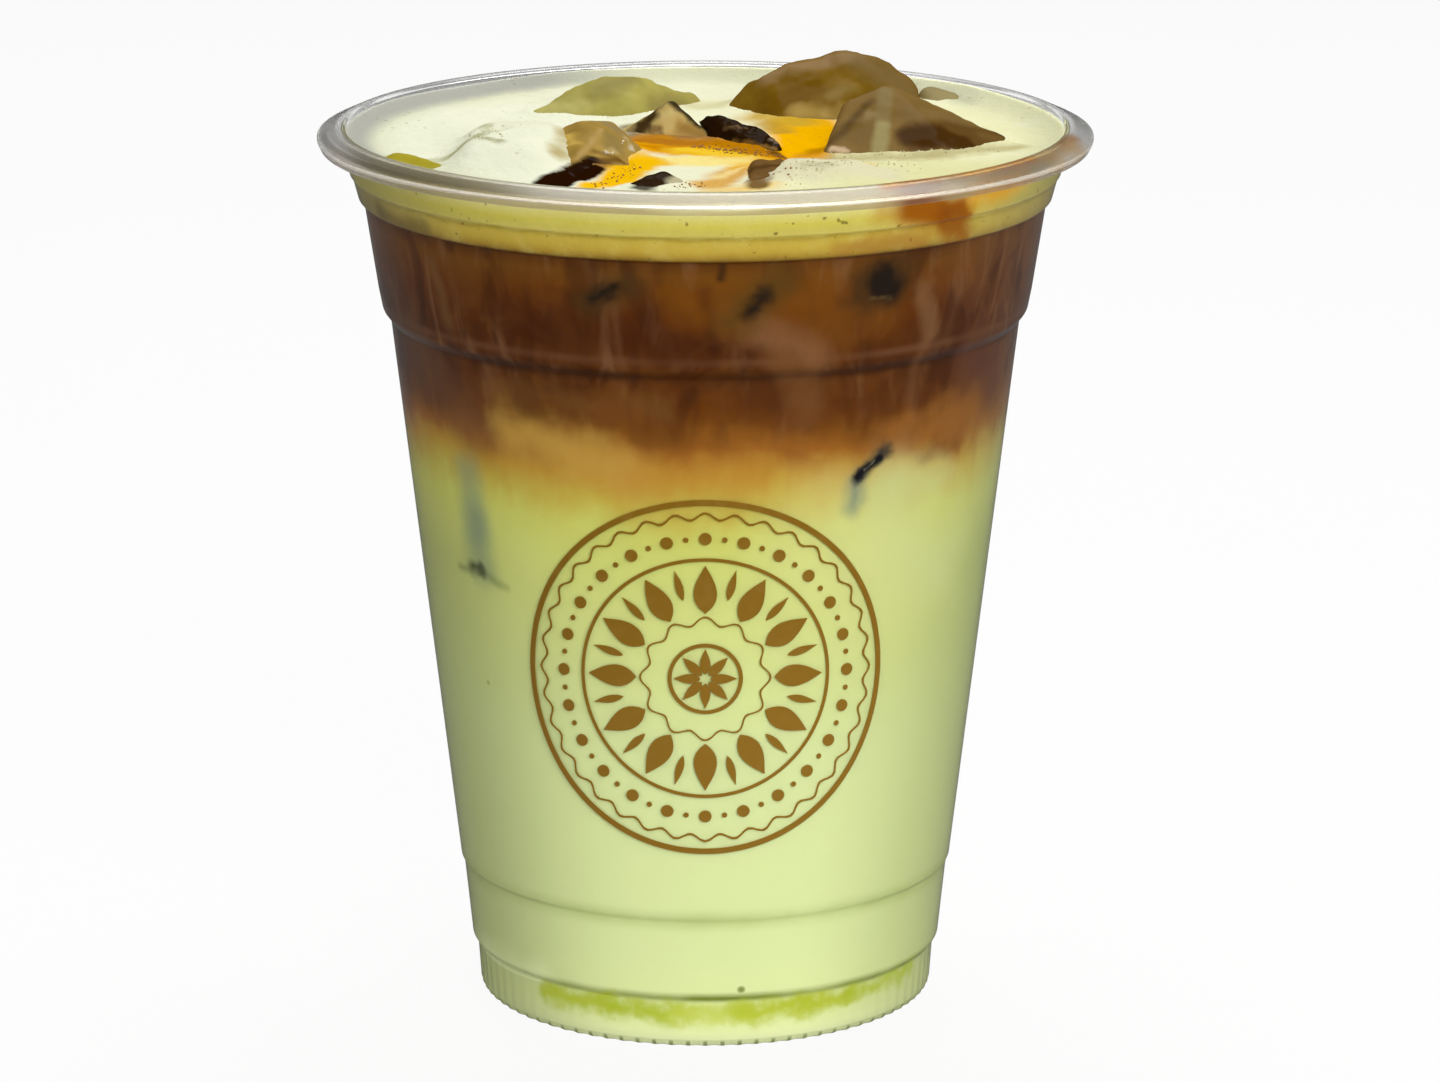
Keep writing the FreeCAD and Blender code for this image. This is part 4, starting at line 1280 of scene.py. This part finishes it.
# %% Bubble film
material, tree, shader, output = new_material("Bubble film")
x = split(place_in_mm(tree))[0]
off_coffee = plus(fade(x, 9.5, 12.5), fade(x, -13.5, -16.5))
tone = blend(off_coffee, (164, 112, 22), (206, 202, 156))
set_shader(shader, Base_Color=tone, Roughness=0.3, Coat_Weight=0.2, Coat_Roughness=0.05)
give(foam_bubbles, material)

# %% [markdown]
# ## The print
# A round ornament in ochre ink sits on the front of the cup. It is drawn flat, as rings, petals and
# beads, and each point is then wrapped onto the wall: the flat width becomes an angle. Every shape is
# a thin closed plate on the wall's outer face, because ink has a clean edge that a mesh shows best.

# %% Wrapping the drawing onto the wall
PRINT_HEIGHT = 50.0
PRINT_RADIUS = 23.4
INK = 0.05
INK_GAP = 0.01


def wrapped(u, v, out):
    """A point of the flat drawing on the wall, out from its outer face."""
    height = PRINT_HEIGHT + v
    return on_wall(math.degrees(u / wall_radius(height)), height, out)


def plate(rows, closed):
    """A thin plate from rows of flat points. A closed one joins its last row to its first."""
    across = len(rows[0])
    places = [wrapped(u, v, out) for out in (INK_GAP, INK_GAP + INK) for row in rows for u, v in row]
    layer = len(rows) * across
    faces = []
    for row in range(len(rows) if closed else len(rows) - 1):
        low = row * across
        high = (row + 1) % len(rows) * across
        for column in range(across - 1):
            quad = (low + column, low + column + 1, high + column + 1, high + column)
            faces += [quad, tuple(index + layer for index in reversed(quad))]
    up = [row * across + across - 1 for row in range(len(rows))]
    down = [row * across for row in reversed(range(len(rows)))]
    if closed:
        borders = [up, down]
    else:
        first_row = list(range(1, across - 1))
        last_row = [up[-1] - column for column in range(1, across - 1)]
        borders = [first_row + up + last_row + down]
    for border in borders:
        for a, b in zip(border, border[1:] + border[:1]):
            faces.append((a, b, b + layer, a + layer))
    return places, faces


print(f"{2 * PRINT_RADIUS:.1f} mm across, its middle {PRINT_HEIGHT:.0f} mm up")


# %% Rings, petals and beads
def polar(radius, degrees):
    angle = math.radians(degrees)
    return radius * math.sin(angle), radius * math.cos(angle)


def ring(radius, width, wave=0.0, waves=0, steps=240):
    """Rows across a ring, whose radius may wave."""
    rows = []
    for step in range(steps):
        degrees = 360 * step / steps
        middle = radius + wave * math.cos(math.radians(degrees * waves))
        rows.append([polar(middle + width * share, degrees) for share in (-0.5, 0.5)])
    return rows


def petal(degrees, start, end, width, steps=10):
    """Rows across a pointed leaf that lies along a radius."""
    rows = []
    for step in range(steps + 1):
        share = step / steps
        half = max(0.03, width / 2 * math.sin(math.pi * share ** 0.8))
        radius = start + (end - start) * share
        spread = math.degrees(half / radius)
        rows.append([polar(radius, degrees + spread * place) for place in (-1, 0, 1)])
    return rows


def bead(degrees, radius, size, steps=8):
    """Rows across a small disc."""
    middle_u, middle_v = polar(radius, degrees)
    rows = []
    for step in range(steps + 1):
        height = size * math.cos(math.pi * step / steps)
        half = max(0.02, size * math.sin(math.pi * step / steps))
        rows.append([(middle_u + half * place, middle_v + height) for place in (-1, 0, 1)])
    return rows


# %% Ornament
rings = [ring(PRINT_RADIUS - 0.4, 0.75), ring(PRINT_RADIUS - 2.2, 0.3, wave=0.45, waves=36),
         ring(15.6, 0.45), ring(4.4, 0.5, steps=90), ring(7.6, 0.25, wave=0.5, waves=12)]
shapes = [bead(15 * index, 18.3, 0.8) for index in range(24)]
shapes += [bead(15 * index + 7.5, 18.3, 0.35) for index in range(24)]
shapes += [petal(30 * index, 8.6, 14.8, 2.9) for index in range(12)]
shapes += [petal(30 * index + 15, 10.6, 14.6, 1.0) for index in range(12)]
shapes += [petal(45 * index, 0.6, 3.9, 1.3) for index in range(8)]
places, faces = [], []
for shape, closed in [(rows, True) for rows in rings] + [(rows, False) for rows in shapes]:
    plate_places, plate_faces = plate(shape, closed)
    faces += [tuple(index + len(places) for index in face) for face in plate_faces]
    places += plate_places
printed_ornament = make_piece("printed_ornament", places, faces, smooth=False)

# %% Print ink
ink, tree, shader, output = new_material("Ochre ink")
here = place_in_mm(tree)
height = split(here)[2]
colour = blend(fade(height, 70.0, 40.0), (186, 136, 28), (202, 150, 46))
colour = blend(fade(grain(here, 2.0, 3.0), 0.45, 0.75, 0.0, 0.35), colour, (208, 160, 66))
set_shader(shader, Base_Color=colour, Roughness=0.35)
give(printed_ornament, ink)

# %% [markdown]
# ## Everything rides on the cup
# The drink has no moving part, so every piece rides on the one body. The five main pieces also name
# the solid that each stands for, and that solid is hidden.

# %% Bodies and replaced solids
for piece, node, finish in [
    (clear_cup, "cup", "clear_plastic"),
    (settled_pistachio, "pistachio_sauce", "pistachio_sauce"),
    (green_milk, "pistachio_milk", "pistachio_milk"),
    (coffee_layer, "coffee", "coffee"),
    (foam_layer, "milk_foam", "milk_foam"),
]:
    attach(piece, "root")
    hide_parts(node)
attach(foam_bubbles, "root")
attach(printed_ornament, "root")
for piece in ice.values():
    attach(piece, "root")

# %% [markdown]
# ## Floor, light and camera
# The cup stands on a plain white floor. For the camera, straight or through the cup, most of the
# floor's white is glow, which keeps it even and still lets the cup's shadow show. The light is soft: a
# large lamp at the front right, a faint one at the left, the strongest one above, and an even sky.

# %% Floor
WHITE = (1, 1, 1, 1)
FLOOR_GLOW = 0.92
FLOOR_REACH = 3000
corners = [(x * FLOOR_REACH, y * FLOOR_REACH, 0) for x, y in ((-1, -1), (1, -1), (1, 1), (-1, 1))]
floor = make_piece("floor", corners, [(0, 1, 2, 3)])


def seen_directly(tree):
    """1 for rays that come from the camera, straight or through the cup."""
    rays = add(tree, "LightPath").outputs
    return calculate("MAXIMUM", rays["Is Camera Ray"], rays["Is Transmission Ray"])


white_floor, tree, shader, output = new_material("White floor")
glow = add(tree, "Emission", {"Color": WHITE, "Strength": 1.0})
seen = seen_directly(tree)
set_shader(shader, Base_Color=blend(seen, (100, 100, 100), (250, 250, 250)), Roughness=0.9)
tree.links.new(mix_shaders(times(seen, FLOOR_GLOW), shader, glow), output.inputs["Surface"])
give(floor, white_floor)

# %% Sky
SKY_STRENGTH = 0.12
world = bpy.data.worlds.new("Sky")
bpy.context.scene.world = world
world.use_nodes = True
tree = world.node_tree
tree.nodes.clear()
sky = add(tree, "Background", {"Color": WHITE, "Strength": SKY_STRENGTH})
backdrop = add(tree, "Background", {"Color": WHITE, "Strength": 1.0})
add(tree, "OutputWorld", {"Surface": mix_shaders(seen_directly(tree), sky, backdrop)})
print(f"sky at {SKY_STRENGTH} for the drink and 1 for the camera")


# %% Lamps
def add_lamp(name, place, target, size, watts):
    """A rectangular area lamp at a place, turned towards a target, all in metres."""
    light = bpy.data.lights.new(name, "AREA")
    light.shape = "RECTANGLE"
    light.size = size
    light.size_y = size
    light.energy = watts
    lamp = bpy.data.objects.new(name, light)
    lamp.location = place
    lamp.rotation_euler = (Vector(target) - Vector(place)).to_track_quat("-Z", "Y").to_euler()
    bpy.context.scene.collection.objects.link(lamp)
    print(f"{name} lamp: {watts} W")


middle = (0, 0, CUP_HEIGHT * MM / 2)
add_lamp("key", (0.30, -0.75, 0.40), middle, 0.50, 3.3)
add_lamp("fill", (-0.70, -0.35, 0.25), middle, 0.40, 0.25)
add_lamp("top", (0.05, 0.25, 0.80), middle, 0.60, 5.2)

# %% Camera
CAMERA_PLACE = (0.0, -0.752, 0.2495)
CAMERA_DOWN = 14.25
FOCAL_LENGTH = 151.0
CAMERA_SHIFT = 0.0102
SENSOR_WIDTH = 36.0

lens = bpy.data.cameras.new("camera")
lens.sensor_width = SENSOR_WIDTH
lens.lens = FOCAL_LENGTH
lens.shift_x = CAMERA_SHIFT
camera = bpy.data.objects.new("camera", lens)
camera.location = CAMERA_PLACE
camera.rotation_euler = (math.radians(90 - CAMERA_DOWN), 0, 0)
bpy.context.scene.collection.objects.link(camera)
bpy.context.scene.camera = camera
print(f"camera: {FOCAL_LENGTH:.0f} mm lens, looking {CAMERA_DOWN} degrees down")
bpy.context.scene.view_settings.view_transform = "Standard"
